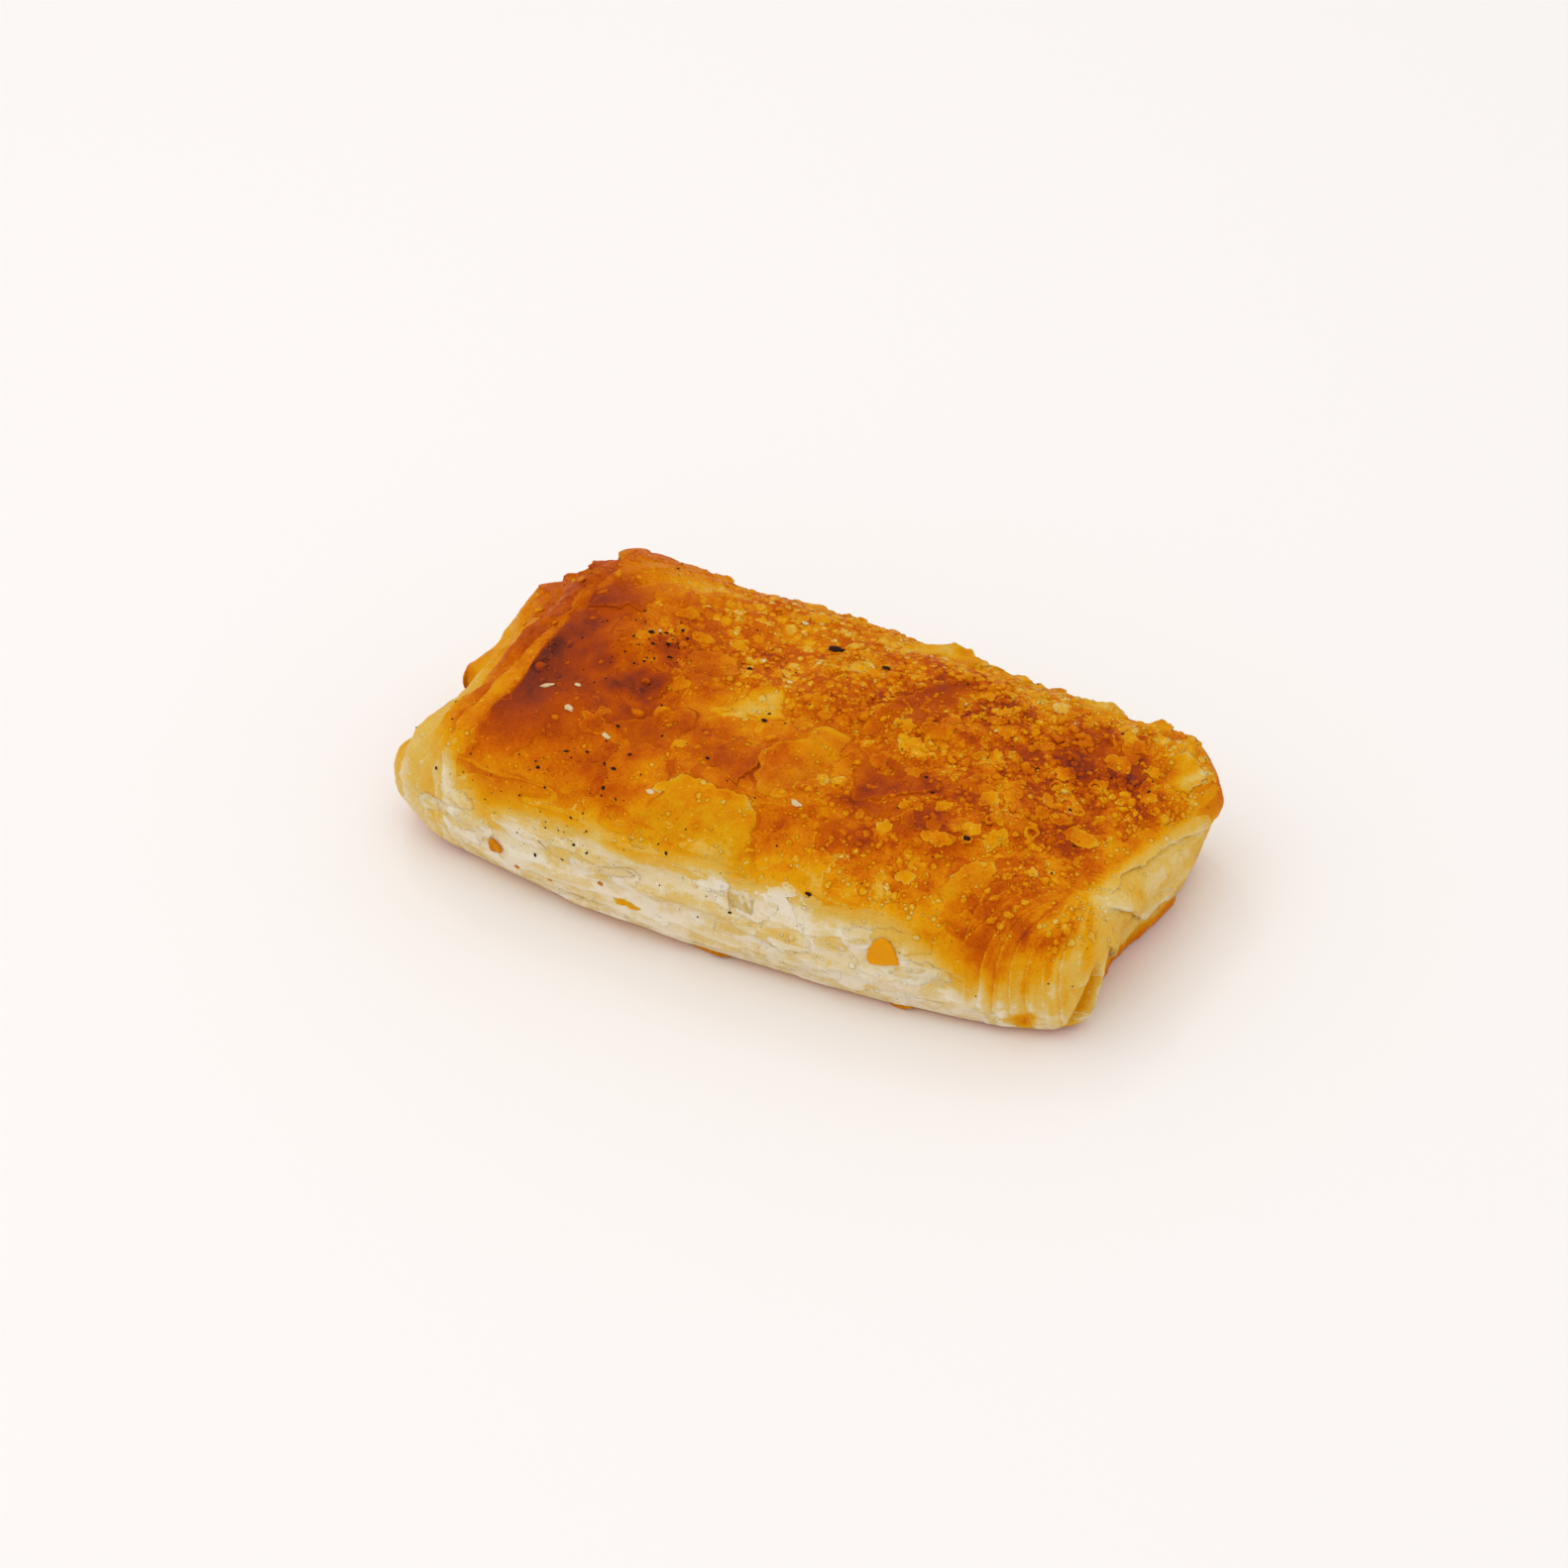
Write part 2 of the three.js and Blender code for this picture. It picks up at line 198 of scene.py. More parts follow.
# Torn sheets whose edges show: face, tint, lift, way of the free edge, and corners on the face
Traced = namedtuple("Traced", "face tint lift free corners")
TRACED = (
    # gold sheet with a point, right of the crack in the middle of the top
    Traced(
        "top", -0.15, 0.8, 160,
        ((1, -16), (7, -8), (8, -3), (15, -3), (15, -7), (22, -18), (21, -23), (6, -26)),
    ),
    # orange sheet left of the crack
    Traced(
        "top", 0.0, 0.4, 0,
        ((-15, -20), (-5, -14), (1, -15), (2, -22), (1, -27), (-4, -24), (-13, -27)),
    ),
    # golden sheet with an arched edge on the front shoulder
    Traced(
        "top", -0.14, 0.4, 90,
        ((-15, -37), (-11, -31), (-3, -28), (5, -29), (10, -33), (11, -41), (-3, -43), (-15, -42)),
    ),
    # smooth reddish patch, and the darker one below it
    Traced(
        "top", 0.06, 0.15, -60,
        ((19, -11), (19, -6), (31, -3), (36, -8), (36, -12), (28, -18), (24, -19)),
    ),
    Traced("top", 0.11, 0.1, -90, ((23, -19), (28, -18), (33, -17), (33, -20), (30, -22))),
    # ear at the far right corner
    Traced("top", -0.08, 0.4, 45, ((73, 19), (72, 24), (76, 28), (82, 26), (80, 20), (76, 18))),
    # yellow sheet by the front right corner
    Traced(
        "top", -0.10, 0.3, 120,
        ((50, -28), (53, -23), (56, -22), (58, -26), (57, -31), (53, -35), (49, -33)),
    ),
    # brown sheet whose raised edge runs back from the middle
    Traced(
        "top", 0.08, 0.4, 170,
        ((15.5, -1), (17.5, 10), (21.5, 18.5), (26, 25), (33, 21), (29, 10), (25, 1)),
    ),
    # pale flakes that stand up along the back edge
    Traced("top", -0.16, 2.2, 90, ((8, 33), (14, 38.5), (22, 39.5), (28, 36.5), (24, 32.5), (14, 31.5))),
    Traced("top", -0.20, 1.6, 90, ((49, 34), (52, 38), (57, 38.5), (60, 36), (56, 33))),
    Traced("top", -0.16, 1.2, 90, ((63, 32), (66, 36), (70, 36), (71, 33), (67, 31))),
    # pale window in the middle of the top
    Traced(
        "top", -0.23, 0.0, 90,
        ((-16, -9), (-12, -4.5), (-9, 2), (-4.5, 4), (-3, 0), (0, -4), (-3, -8), (-13, -13)),
    ),
    # red windows beside the ridge
    Traced(
        "top", -0.09, 0.0, 90,
        ((-57.6, 6), (-58.5, 12), (-56, 15), (-54, 10.5), (-52.3, 5.6), (-53.6, 2.8)),
    ),
    Traced(
        "top", -0.09, 0.0, 90,
        ((-44, 0), (-43, 6.3), (-40, 6.2), (-38, 3.6), (-39.2, 0.4), (-42.4, -2)),
    ),
    # brown sheets beside the ridge
    Traced(
        "top", -0.04, 0.5, 120,
        ((-30, -21), (-26, -17.5), (-19, -11), (-14, -15), (-17, -22), (-24, -26)),
    ),
    Traced("top", 0.05, 0.5, 60, ((-38, -8), (-33, -3), (-27, -4), (-25, -9), (-29, -13), (-35, -13))),
    Traced("top", -0.06, 0.4, 90, ((-28, 2), (-24, 7), (-18, 8), (-14, 4), (-17, -1), (-23, -2))),
    # reddish sheet on the ridge, torn along its front edge
    Traced(
        "top", 0.04, 0.4, -90,
        ((-53, 7), (-50, 8), (-46, 9), (-42, 10), (-41, 16), (-46, 22), (-52, 22)),
    ),
    # beige windows of the front, where the outer sheet is torn off
    Traced(
        "front", 0.05, 0.0, 90,
        ((3, 13), (8, 15.5), (22, 16.5), (25, 14.5), (21, 8), (9, 9), (3, 9)),
    ),
    Traced("front", 0.04, 0.0, 90, ((26.5, 17), (32, 18.5), (37, 12.5), (38, 5), (32, 6.5), (26.5, 10))),
    Traced("front", 0.04, 0.0, 90, ((44, 14.5), (49, 16.5), (50, 14), (48, 9.5), (44.5, 11))),
    Traced("front", 0.08, 0.0, 90, ((-27, 13), (-23, 16.5), (-19, 14.5), (-25, 12.5))),
    # white sheets of the front
    Traced(
        "front", -0.04, 0.2, -90,
        ((19.5, 24), (28, 26), (42, 26), (44, 21), (37, 16), (33, 19), (25, 16.5)),
    ),
    Traced("front", -0.02, 0.2, -90, ((43.5, 26), (51, 27), (53, 24.5), (51, 19.5), (46, 18.5))),
    Traced("front", -0.05, 0.2, -60, ((-63, 11), (-56, 20), (-52, 20.5), (-50, 15), (-56, 9), (-62, 6))),
    Traced(
        "front", -0.04, 0.25, -90,
        ((-48, 19.5), (-41, 20), (-30, 21), (-29, 18.5), (-36, 16.5), (-44, 15.5)),
    ),
    Traced("front", -0.06, 0.2, -90, ((-47, 14), (-37, 14.5), (-35.5, 13), (-42, 11.5), (-46, 11.5))),
    Traced(
        "front", -0.06, 0.2, -90,
        ((7, 22), (13, 24.5), (18.5, 23.5), (18.5, 19), (14, 16), (9, 16.5)),
    ),
    # pointed tongues that hang over the front
    Traced("front", -0.02, 0.35, -90, ((0, 28), (3, 30), (6, 27), (8, 16), (4.5, 19), (2.5, 24))),
    Traced("front", -0.03, 0.3, -80, ((9, 26.5), (11.5, 24), (12.5, 18.5), (9.5, 19))),
    # flakes and strips at the foot of the front
    Traced("front", -0.06, 0.2, -90, ((22, 7.5), (27, 10.5), (33, 10.5), (31, 5.5), (22.5, 4))),
    Traced("front", -0.06, 0.25, 120, ((15.5, 12), (17.5, 9), (21, 6.5), (16, 6), (13, 7))),
    Traced("front", 0.02, 0.25, 90, ((-60, 4), (-40, 6.5), (-18, 6), (-4, 4), (-20, 1.5), (-44, 1.5))),
    Traced("front", 0.00, 0.25, 90, ((-2, 4), (14, 6.5), (30, 5), (40, 3.5), (20, 1.5))),
    Traced("front", -0.02, 0.25, 90, ((34, 5), (50, 7), (64, 6), (62, 2), (44, 1.5))),
    Traced("front", 0.22, 0.0, 90, ((-21, 10), (-18, 10.5), (-13.5, 9.5), (-15, 8), (-19, 8))),
)

# Height of the sheets on each face over the crust, and how ragged their edges are
TRACED_BASE = {"top": 0.12, "front": 0.05}
TRACED_RAGGED = {"top": 0.28, "front": 0.2}

# A raised sheet shows a pale rim, partly its thin dough and partly painted highlight, over a sheet of
# painted shadow a little larger than the sheet and just over the crust
PALE_AND_LIT_RIM = 0.14
SHADOW_SHEET_SCALE = 1.07
PAINTED_GAP_SHADOW = 0.09
SHADOW_SHEET_BASE = 0.06

# Scraps of sheet that lie on the top: place, size along and across, turn, lift and tint
Flat = namedtuple("Flat", "x y long wide turn lift tint", defaults=(0.15, -0.17))
FLATS = (
    Flat(27, 1, 6.5, 4.5, 10),
    Flat(30, 7, 7, 4.5, 20),
    Flat(65, 19, 6, 4.5, -20),
    Flat(68, -5, 5.5, 5, 0),
    Flat(54, -16, 3, 7, -15),
    Flat(44, 5, 4, 3.5, 0),
    Flat(48, -6.5, 4, 4, 30),
    Flat(44, -22.5, 6, 4, 10),
    Flat(62, -3, 4.5, 3, 20),
    Flat(73, 16, 3.5, 4, 0),
    Flat(36, -17, 5, 3, 30),
    Flat(41, -13, 4.5, 2.5, 60),
    Flat(6, 18, 4, 2.5, 20),
    Flat(-24, -5.7, 5, 2.8, 20, 0.8, -0.22),
    Flat(-13, -32.5, 3.8, 2.1, 30, 0.6, -0.16),
    Flat(33.5, -24, 4, 2.2, 10, 0.9, -0.20),
    Flat(-14.6, -21.8, 4, 1.7, 25, 0.4, -0.18),
    Flat(-27, 10, 5, 2.5, 10, 0.5, -0.12),
    Flat(-20, 13, 5, 2.5, -20, 0.5, -0.14),
    Flat(-33, 15, 5, 2.5, 30, 0.5, -0.12),
    Flat(-37, 37, 5, 4, 0, 0.9, -0.06),  # and those that stand up along the edges
    Flat(-26, 38, 4, 3, 0, 0.7, -0.10),
    Flat(-14, 38, 6, 3.5, 0, 0.8, -0.04),
    Flat(-4, 37.5, 4, 3, 0, 0.7, -0.08),
    Flat(35, 38, 4, 3, 0, 0.8, -0.10),
    Flat(43, 38, 5, 3, 0, 1.1, -0.08),
    Flat(-61, 26, 6, 4, 90, 1.2, 0.06),
    Flat(-66, 18, 5, 3.5, 90, 1.0, 0.08),
    Flat(-71, 10, 4, 3, 90, 0.8, 0.04),
    Flat(-76, -9, 5, 3.5, 80, 1.0, 0.06),
    Flat(-80, -16, 4, 3, 70, 0.7, 0.05),
)

# How much paler the rims of scraps are
SCRAP_RIM = 0.12

# Bubbles that broke open: place on the top and radius
RING_TINT = -0.16
RINGS = (
    (57, 6, 1.7),
    (60, 9, 1.5),
    (64, 10, 1.5),
    (64, 2, 1.4),
    (49, -19, 1.3),
    (59, -10, 1.9),
    (51, -12, 1.5),
)

# A broken bubble's rings from outside to inside: share of the radius, and height over the radius
BROKEN_PROFILE = ((1.0, -0.08), (0.82, 0.16), (0.6, 0.18), (0.45, -0.12))

# How uneven whole and broken bubbles are: waves round the rim, and their reach over the radius
DOME_WAVES = ((2, 0.16), (3, 0.14))
BROKEN_WAVES = ((2, 0.15), (3, 0.1))

# Least width over length of a whole bubble
DOME_WIDTH = 0.7

# Bits stuck to the crust, by kind: face, place on it, length, width and height
Bit = namedtuple("Bit", "face a b long wide high")
BITS = {
    "char": (
        Bit("top", -2, 23, 3.4, 1.7, 1.0),
        Bit("top", -3, -7, 1.2, 0.8, 0.5),
        Bit("top", -14, 7, 1.1, 0.9, 0.5),
        Bit("top", 11, 21, 1.8, 1.0, 0.5),
        Bit("top", 49, -19, 1.6, 0.9, 0.7),
        Bit("top", -36, 4.5, 1.5, 0.9, 0.3),
        Bit("top", -33.5, 6.5, 1.0, 0.7, 0.3),
        Bit("top", -31.5, 3.5, 1.3, 0.7, 0.3),
        Bit("top", -34, 1.5, 1.0, 0.6, 0.3),
        Bit("top", -29.5, 0.5, 1.2, 0.6, 0.3),
        Bit("top", -30, 5.5, 0.8, 0.6, 0.3),
        Bit("top", -36.5, -31, 1.3, 0.5, 0.3),
        Bit("top", -25, -31.5, 1.2, 0.7, 0.3),
        Bit("top", -40.5, -36, 0.9, 0.6, 0.3),
        Bit("top", -32, -30, 0.9, 0.5, 0.3),
        Bit("front", 25, 26, 1.5, 0.7, 0.4),
        Bit("front", 7.6, 16.3, 0.7, 0.5, 0.3),
    ),
    "salt": (
        Bit("top", -48.5, -18, 3.2, 0.9, 0.6),
        Bit("top", -42.5, -15.5, 1.5, 0.9, 0.4),
        Bit("top", -40.5, -22.5, 2.2, 1.2, 0.5),
        Bit("top", -30.6, -24.8, 2.6, 1.2, 0.4),
        Bit("top", 15, -27, 2.4, 1.3, 0.5),
        Bit("top", -15, -34, 1.8, 1.1, 0.4),
        Bit("top", -12, 28, 1.8, 1.0, 0.4),
        Bit("front", -19, 17.5, 8.2, 1.9, 1.3),
    ),
    "nut": (
        Bit("front", -49.6, 12.4, 3.4, 3.2, 1.8),
        Bit("front", -23.2, 12.7, 1.2, 1.1, 0.5),
        Bit("front", -44.5, 8.7, 1.0, 0.9, 0.5),
        Bit("front", -36.2, 8.6, 1.0, 1.1, 0.4),
        Bit("front", 0.5, 1.0, 8.0, 1.5, 1.2),
        Bit("front", 43, 0.9, 5.5, 1.3, 1.2),
    ),
}

# Chip of browned crust stuck to the pale front: corners on the face
CHIP = (
    (37.9, 14.7),
    (38.9, 13.6),
    (41.9, 14.1),
    (45.2, 15.4),
    (44.3, 18.4),
    (43.4, 19.9),
    (41.7, 20.8),
    (40, 20),
    (38.7, 17.9),
)

# How to reach each face: where a ray starts for a place on it, which way it goes, and the way along
Face = namedtuple("Face", "start way along")
FACES = {
    "top": Face(lambda a, b: (a, b, 100), (0, 0, -1), (1, 0, 0)),
    "front": Face(lambda a, b: (a, -100, b), (0, 1, 0), (1, 0, 0)),
    "right": Face(lambda a, b: (140, a, b), (-1, 0, 0), (0, 1, 0)),
}

# Sheets that hang down the right end: stations along y, their upper and lower edges, lift and tint
Hanging = namedtuple("Hanging", "across top low lift tint")
HANGING = (
    Hanging((-16, -8, 0, 8, 16), (5, 4.5, 4, 4.5, 6), (0.2, 0.2, 0.2, 0.3, 0.6), 1.2, 0.24),
    Hanging((-24, -18, -11, -2, 6, 13), (24, 23, 22, 20, 17, 14), (20, 13, 8, 5.5, 5, 7), 1.6, 0.03),
    Hanging(
        (-19, -13, -8, -3, 3, 9, 16, 22),
        (26, 26, 26, 25, 24, 23, 21, 19),
        (25, 20, 15, 10.5, 11.5, 11, 14, 17),
        1.8,
        -0.02,
    ),
    Hanging((-17, -8, 4, 14, 23), (27, 27, 26, 24, 21), (24.4, 24.2, 22.4, 20.4, 18), 0.7, 0.0),
)

# Line where the browned top gives way to the pale right end: stations along y, and its x there
LIP_Y = (-30, -24, -18, -9.5, 3, 12, 24)
LIP_X = (83, 80, 76.2, 77, 80.2, 82.4, 85.8)

# Pleats of the front right corner: the point in plan that they fan out from, and the angle between them
PLEAT_X = 74
PLEAT_Y = -12
PLEAT_TURN = 7

# Open fold at the foot of the front right corner
POCKET_Y = -29.3
POCKET_Z = 9.5
POCKET_LEAN = 0.3
POCKET_REACH = (3.0, 8.5)
POCKET_DEPTH = 6
POCKET_FROM = (70, 76)


def linear(code):
    """Linear colour with alpha from an sRGB hex code."""
    channels = [int(code[i : i + 2], 16) / 255 for i in (0, 2, 4)]
    decoded = [c / 12.92 if c <= 0.04045 else ((c + 0.055) / 1.055) ** 2.4 for c in channels]
    return (*decoded, 1.0)


def colour(name, description, code):
    """A colour property with an sRGB hex default."""
    return FloatVectorProperty(
        name=name, description=description, subtype="COLOR", size=4, min=0, max=1, default=linear(code)
    )


def length(name, description, millimetres):
    """A length property, given in millimetres and kept in metres."""
    return FloatProperty(name=name, description=description, unit="LENGTH", default=millimetres * MM)


def number(name, description, value):
    """A property that is a plain number."""
    return FloatProperty(name=name, description=description, default=value)


def whole(name, description, value):
    """A property that is a whole number."""
    return IntProperty(name=name, description=description, default=value)


class BorekShape(bpy.types.PropertyGroup):
    """Sizes of the crust and of what lies on it."""

    cell: length("Cell", "Spacing of the crust's mesh, halved where the crust shows", 0.9)
    smoothing: whole("Smoothing", "Passes that soften the solid's facets", 12)
    sheet_step: length("Sheet step", "Height of a torn edge in the crust", 0.4)
    shingle: length("Shingle", "How far the layers of the pale sides stand out", 0.3)
    fold: length("Fold", "Depth of the folds gathered at the left end", 1.4)
    bubble: number("Bubble", "Height of a bubble over the space between bubbles", 0.14)
    flakes: whole("Side flakes", "Torn flakes on the pale sides", 40)
    scraps: whole("Top scraps", "Small pale scraps on the top", 130)
    blisters: whole("Blisters", "Bubbles that stand on the top", 900)
    specks: whole("Specks", "Grains of pepper and char on the crust", 420)
    crumbs: whole("Crumbs", "Crumbs stuck to the crust", 7)


class BorekColours(bpy.types.PropertyGroup):
    """Colours of the dough from unbaked white to charred."""

    white: colour("White", "Dry flake of unbrowned dough", "EADCC4")
    cream: colour("Cream", "Dough just set", "E0C892")
    straw: colour("Straw", "Dough on the turn", "DDB452")
    yellow: colour("Yellow", "Edge of the browned crust", "DF9C08")
    golden: colour("Golden", "Lightly baked crust", "D88002")
    orange: colour("Orange", "Well baked crust", "C75E00")
    brown: colour("Brown", "Strongly baked crust", "B04604")
    russet: colour("Russet", "Crust at its ridge", "953814")
    dark: colour("Dark", "Crust about to char", "6C2C1E")
    char: colour("Char", "Charred crust and pepper", "26130F")
    amber: colour("Amber", "Chip of browned crust stuck to the pale side", "E08A00")


class BorekStage(bpy.types.PropertyGroup):
    """Camera, floor and light."""

    azimuth: number("Azimuth", "Camera's turn round the part, in degrees", 30.0)
    elevation: number("Elevation", "Camera's height angle, in degrees", 38.37)
    roll: number("Roll", "Camera's turn about its own axis, in degrees", -3.12)
    distance: length("Distance", "From the aim to the camera", 750.35)
    aim: FloatVectorProperty(
        name="Aim",
        description="Point that the camera looks at",
        subtype="TRANSLATION",
        default=(-1.65 * MM, -2.7 * MM, 17.0 * MM),
    )
    lens: number("Lens", "Focal length in millimetres", 81.92)
    floor: colour("Floor", "Plain pale floor", "F6F1EE")
    floor_size: length("Floor size", "Side of the square floor", 6000)
    sky: number("Sky", "Strength of the even light all round", 0.92)
    key: number("Key", "Power of the large soft light, in watts", 2.15)
    key_size: length("Key size", "Width of the large soft light", 1300)
    glint: number("Glint", "Power of the small light behind, in watts", 0.5)
    glint_size: length("Glint size", "Width of the small light behind", 140)


def smooth(low, high, value):
    """Eased step from 0 at low to 1 at high."""
    share = np.clip((value - low) / (high - low), 0, 1)
    return share * share * (3 - 2 * share)


def bell(distance, reach):
    """Bump that is 1 at no distance and falls away over the reach."""
    return np.exp(-((distance / reach) ** 2))


def turned(a, b, degrees):
    """Coordinates along and across a direction at an angle in degrees."""
    turn = math.radians(degrees)
    return a * math.cos(turn) + b * math.sin(turn), b * math.cos(turn) - a * math.sin(turn)


def field(points, size, seed=0, octaves=1, stretch=(1, 1, 1)):
    """Noise from about -1 to 1 at each point, with lumps about size millimetres across."""
    scaled = (points / (size * np.array(stretch)) + NOISE_SHIFT * seed).tolist()
    if octaves == 1:
        return np.array([noise.noise(point) for point in scaled])
    return np.array([noise.fractal(point, 1.0, 2.0, octaves) for point in scaled])


def bubbles(points, size, share, seed):
    """Height, and rim of painted shade round the foot, from 0 to 1, of bubbles on a share of places about
    size millimetres apart.
    """
    warp = np.stack([field(points, 0.7 * size, seed=seed + axis) for axis in (41, 51, 61)], 1)
    found = [noise.voronoi(point) for point in (points / size + 0.3 * warp).tolist()]
    nearest = np.array([distances[0] for distances, _ in found])
    homes = np.array([tuple(places[0]) for _, places in found])

    # a fixed chance from 0 to 1 for each place, from the scrambled digits of a sine
    luck = np.modf(np.abs(np.sin(homes @ (12.9, 78.2, 37.7))) * 437.5)[0]
    radius = 0.28 + 0.24 * np.modf(luck * 17)[0]
    taken = luck < share
    return taken * smooth(radius, 0.6 * radius, nearest), taken * smooth(1.5 * radius, radius, nearest)


def bubbled(points, covered):
    """Height over size, paleness, and rims of painted shade round the feet of the bubbles in the crust at
    each point.
    """
    height = np.zeros(len(points))
    pale = np.zeros(len(points))
    rim = np.zeros(len(points))
    at = np.nonzero(covered > 0.04)[0]
    for seed, (size, share) in enumerate(BUBBLES):
        bump, ring = bubbles(points[at], size, covered[at] * share, seed)
        height[at] = np.maximum(height[at], size * bump)
        pale[at] = np.maximum(pale[at], bump)
        rim[at] = np.maximum(rim[at], ring)
    return height, pale, rim * (1 - pale)


def past_ridge(points):
    """How far each point lies in x beyond the folded ridge of the left end."""
    return points[:, 0] - np.interp(points[:, 1], FOLDS_Y, FOLDS[0])


def leftward_of(points):
    """1 on the left end beyond its ridge, and 0 on the top."""
    return smooth(0, -1.2, past_ridge(points))


Sides = namedtuple("Sides", "top front back left right corner")


def sides(points, normals):
    """Share of each side at each point.

    The left end starts at its ridge. The corner is where the top folds down to the front on the right.
    """
    x, y, _ = points.T
    left = leftward_of(points)
    corner = smooth(54, 62, x) * smooth(-14, -26, y) * smooth(0.9, 0.6, normals[:, 0])
    rest = 1 - left - corner
    top = smooth(0.35, 0.8, normals[:, 2]) * rest
    flank = rest - top
    front = smooth(0.45, 0.85, -normals[:, 1]) * flank
    back = smooth(0.45, 0.85, normals[:, 1]) * flank
    right = smooth(0.45, 0.85, normals[:, 0]) * flank
    return Sides(top, front, back, left, right, corner)


def ends(points, normals):
    """Shares of the left and right ends at each point, for the baking."""
    return smooth(-58, -72, points[:, 0]), smooth(0.3, 0.8, normals[:, 0])


def pale_line(points, normals):
    """Height at which the crust turns from pale to golden at each point."""
    x, y, _ = points.T
    leftward, rightward = ends(points, normals)
    ahead = smooth(-0.2, 0.7, -normals[:, 1])
    behind = smooth(0.2, 0.8, normals[:, 1])
    front_line = PALE_LINE + sum(bump.rise * bell(x - bump.x, bump.reach) for bump in FRONT_BUMPS)
    left_line = 30 - 14 * smooth(-21, 4, y)
    right_line = 19 - 7 * smooth(6, 26, y)
    line = np.full(len(points), PALE_LINE - 2.0)
    line = line + (front_line - line) * ahead
    line = line + (PALE_LINE - 6 - line) * behind
    line = line + (left_line - line) * leftward
    return line + (right_line - line) * rightward


def patchy(points, normals):
    """How much more the patches of the top are baked at each point."""
    x, y, _ = points.T
    up = smooth(0.25, 0.75, normals[:, 2])
    warp = (1 + 0.6 * field(points, 7, seed=21, octaves=3)).clip(0.4)
    more = np.zeros(len(points))
    for patch in PATCHES:
        along, across = turned(x - patch.x, y - patch.y, patch.turn)
        reach = np.hypot(along / patch.reach_x, across / patch.reach_y) / warp
        more += patch.amount * up * bell(reach, 1)
    return more


def spotted(points):
    """How much more the spots off the top are baked at each point."""
    ragged = 1 + 0.4 * field(points, 3, seed=18, octaves=2)
    more = np.zeros(len(points))
    for spot in SPOTS:
        away = np.linalg.norm(points - (spot.x, spot.y, spot.z), axis=1)
        more += spot.amount * bell(away * ragged, spot.reach)
    return more


def browning(points, normals):
    """How far the dough is baked at each point: 0 is white, about 0.6 is golden brown and 1 is char."""
    x, y, z = points.T
    leftward, rightward = ends(points, normals)
    left = leftward_of(points)
    uneven = 2.4 * field(points, 15, seed=1, octaves=3) + 0.7 * field(points, 4, seed=2, octaves=2)
    over = z - pale_line(points, normals) + uneven
    over = over / (1 + 1.1 * leftward + 0.3 * rightward)
    baked = np.interp(over, RISE, BAKED)
    baked = baked + (0.08 * leftward + 0.07 * rightward) * smooth(0.3, 0.1, baked)
    baked = baked + patchy(points, normals)

    # the rolled right end stays pale past its lip
    over_lip = x - np.interp(y, LIP_Y, LIP_X) + 0.8 * field(points, 5, seed=19, octaves=2)
    past_lip = smooth(-2.8, 0.8, over_lip)
    baked = baked - past_lip * (baked - PAST_LIP).clip(0) * smooth(14, 20, z) * 0.85
    baked = baked + spotted(points)

    # the ridge of the left end is dark, and the folds beside it are brown
    over_ridge = past_ridge(points) + 1.0 * field(points, 9, seed=14, octaves=2)
    ridge = smooth(-0.5, 0.4, over_ridge) * bell(over_ridge.clip(0), RIDGE_FADE)
    ridge = ridge * bell(y - RIDGE_MIDDLE, RIDGE_REACH) * smooth(0.3, 0.6, normals[:, 2])
    baked = baked + RIDGE_DARK * ridge
    beside = bell(past_ridge(points) + 4 + 2 * field(points, 8, seed=22, octaves=2), 4.5)
    beside = beside * smooth(-34, -22, y) * smooth(8, -2, y) * left
    baked = baked + (BESIDE_RIDGE - baked) * 0.8 * beside

    # streaks run along the pleats, and the crust is mottled except where it is calm
    streak = np.stack([pleats(points), 0.06 * z, np.full(len(points), 7.0)], 1)
    baked = baked + 0.12 * sides(points, normals).corner * field(streak, 0.7, seed=16, octaves=2)
    calm = (smooth(-36, -46, x) + smooth(-24, -34, y) * smooth(0, -20, x)).clip(0, 1) * (1 - left)
    mottled = smooth(0.2, 0.5, baked) * (1 - 0.7 * calm)
    mottling = 0.12 * field(points, 11, seed=3, octaves=3) + 0.09 * field(points, 4, seed=4, octaves=3)
    baked = baked + mottled * mottling

    # the foot, the underside and the open fold each have a level of their own, and under the flap the dough
    # is darker tan, partly its own colour and partly painted shade
    foot = smooth(2.2, 0.4, z + 1.2 * field(points, 9, seed=5)) * (0.35 + 0.65 * rightward)
    under = smooth(0.6, 0.95, -normals[:, 2])
    baked = baked + (UNDERSIDE - baked) * np.maximum(0.6 * foot, under).clip(0, 1)
    cave_tan_and_shade = rightward * smooth(11, 6, z) * smooth(-26, -20, y)
    baked = baked + (UNDER_FLAP_TAN_AND_SHADE - baked) * 0.8 * cave_tan_and_shade
    inside = smooth(0.95, 0.7, pocket_reach(points)) * smooth(*POCKET_FROM, x + POCKET_DEPTH)
    baked = baked + (INSIDE_FOLD - baked) * inside
    return baked.clip(0, 0.97)


def pocket_reach(points):
    """How far each point is from the middle of the open fold: 1 at its rim."""
    _, y, z = points.T
    side = y - POCKET_Y - POCKET_LEAN * (z - POCKET_Z)
    return np.hypot(side / POCKET_REACH[0], (z - POCKET_Z) / POCKET_REACH[1])


def openings(points, normals):
    """Depth inside the torn windows at each point: above 0 within one, and below 0 outside."""
    x, y, z = points.T
    ways = {"top": (x, y, normals[:, 2]), "front": (x, z, -normals[:, 1])}
    depth = np.full(len(points), -1.0)
    for window in WINDOWS:
        a, b, facing = ways[window.face]
        along, across = turned(a - window.a, b - window.b, window.turn)
        reach = np.hypot(along / window.reach_a, across / window.reach_b)
        depth = np.maximum(depth, np.where(facing > 0.3, 1 - reach, -1.0))
    return depth + 0.5 * field(points, 5, seed=15, octaves=3)


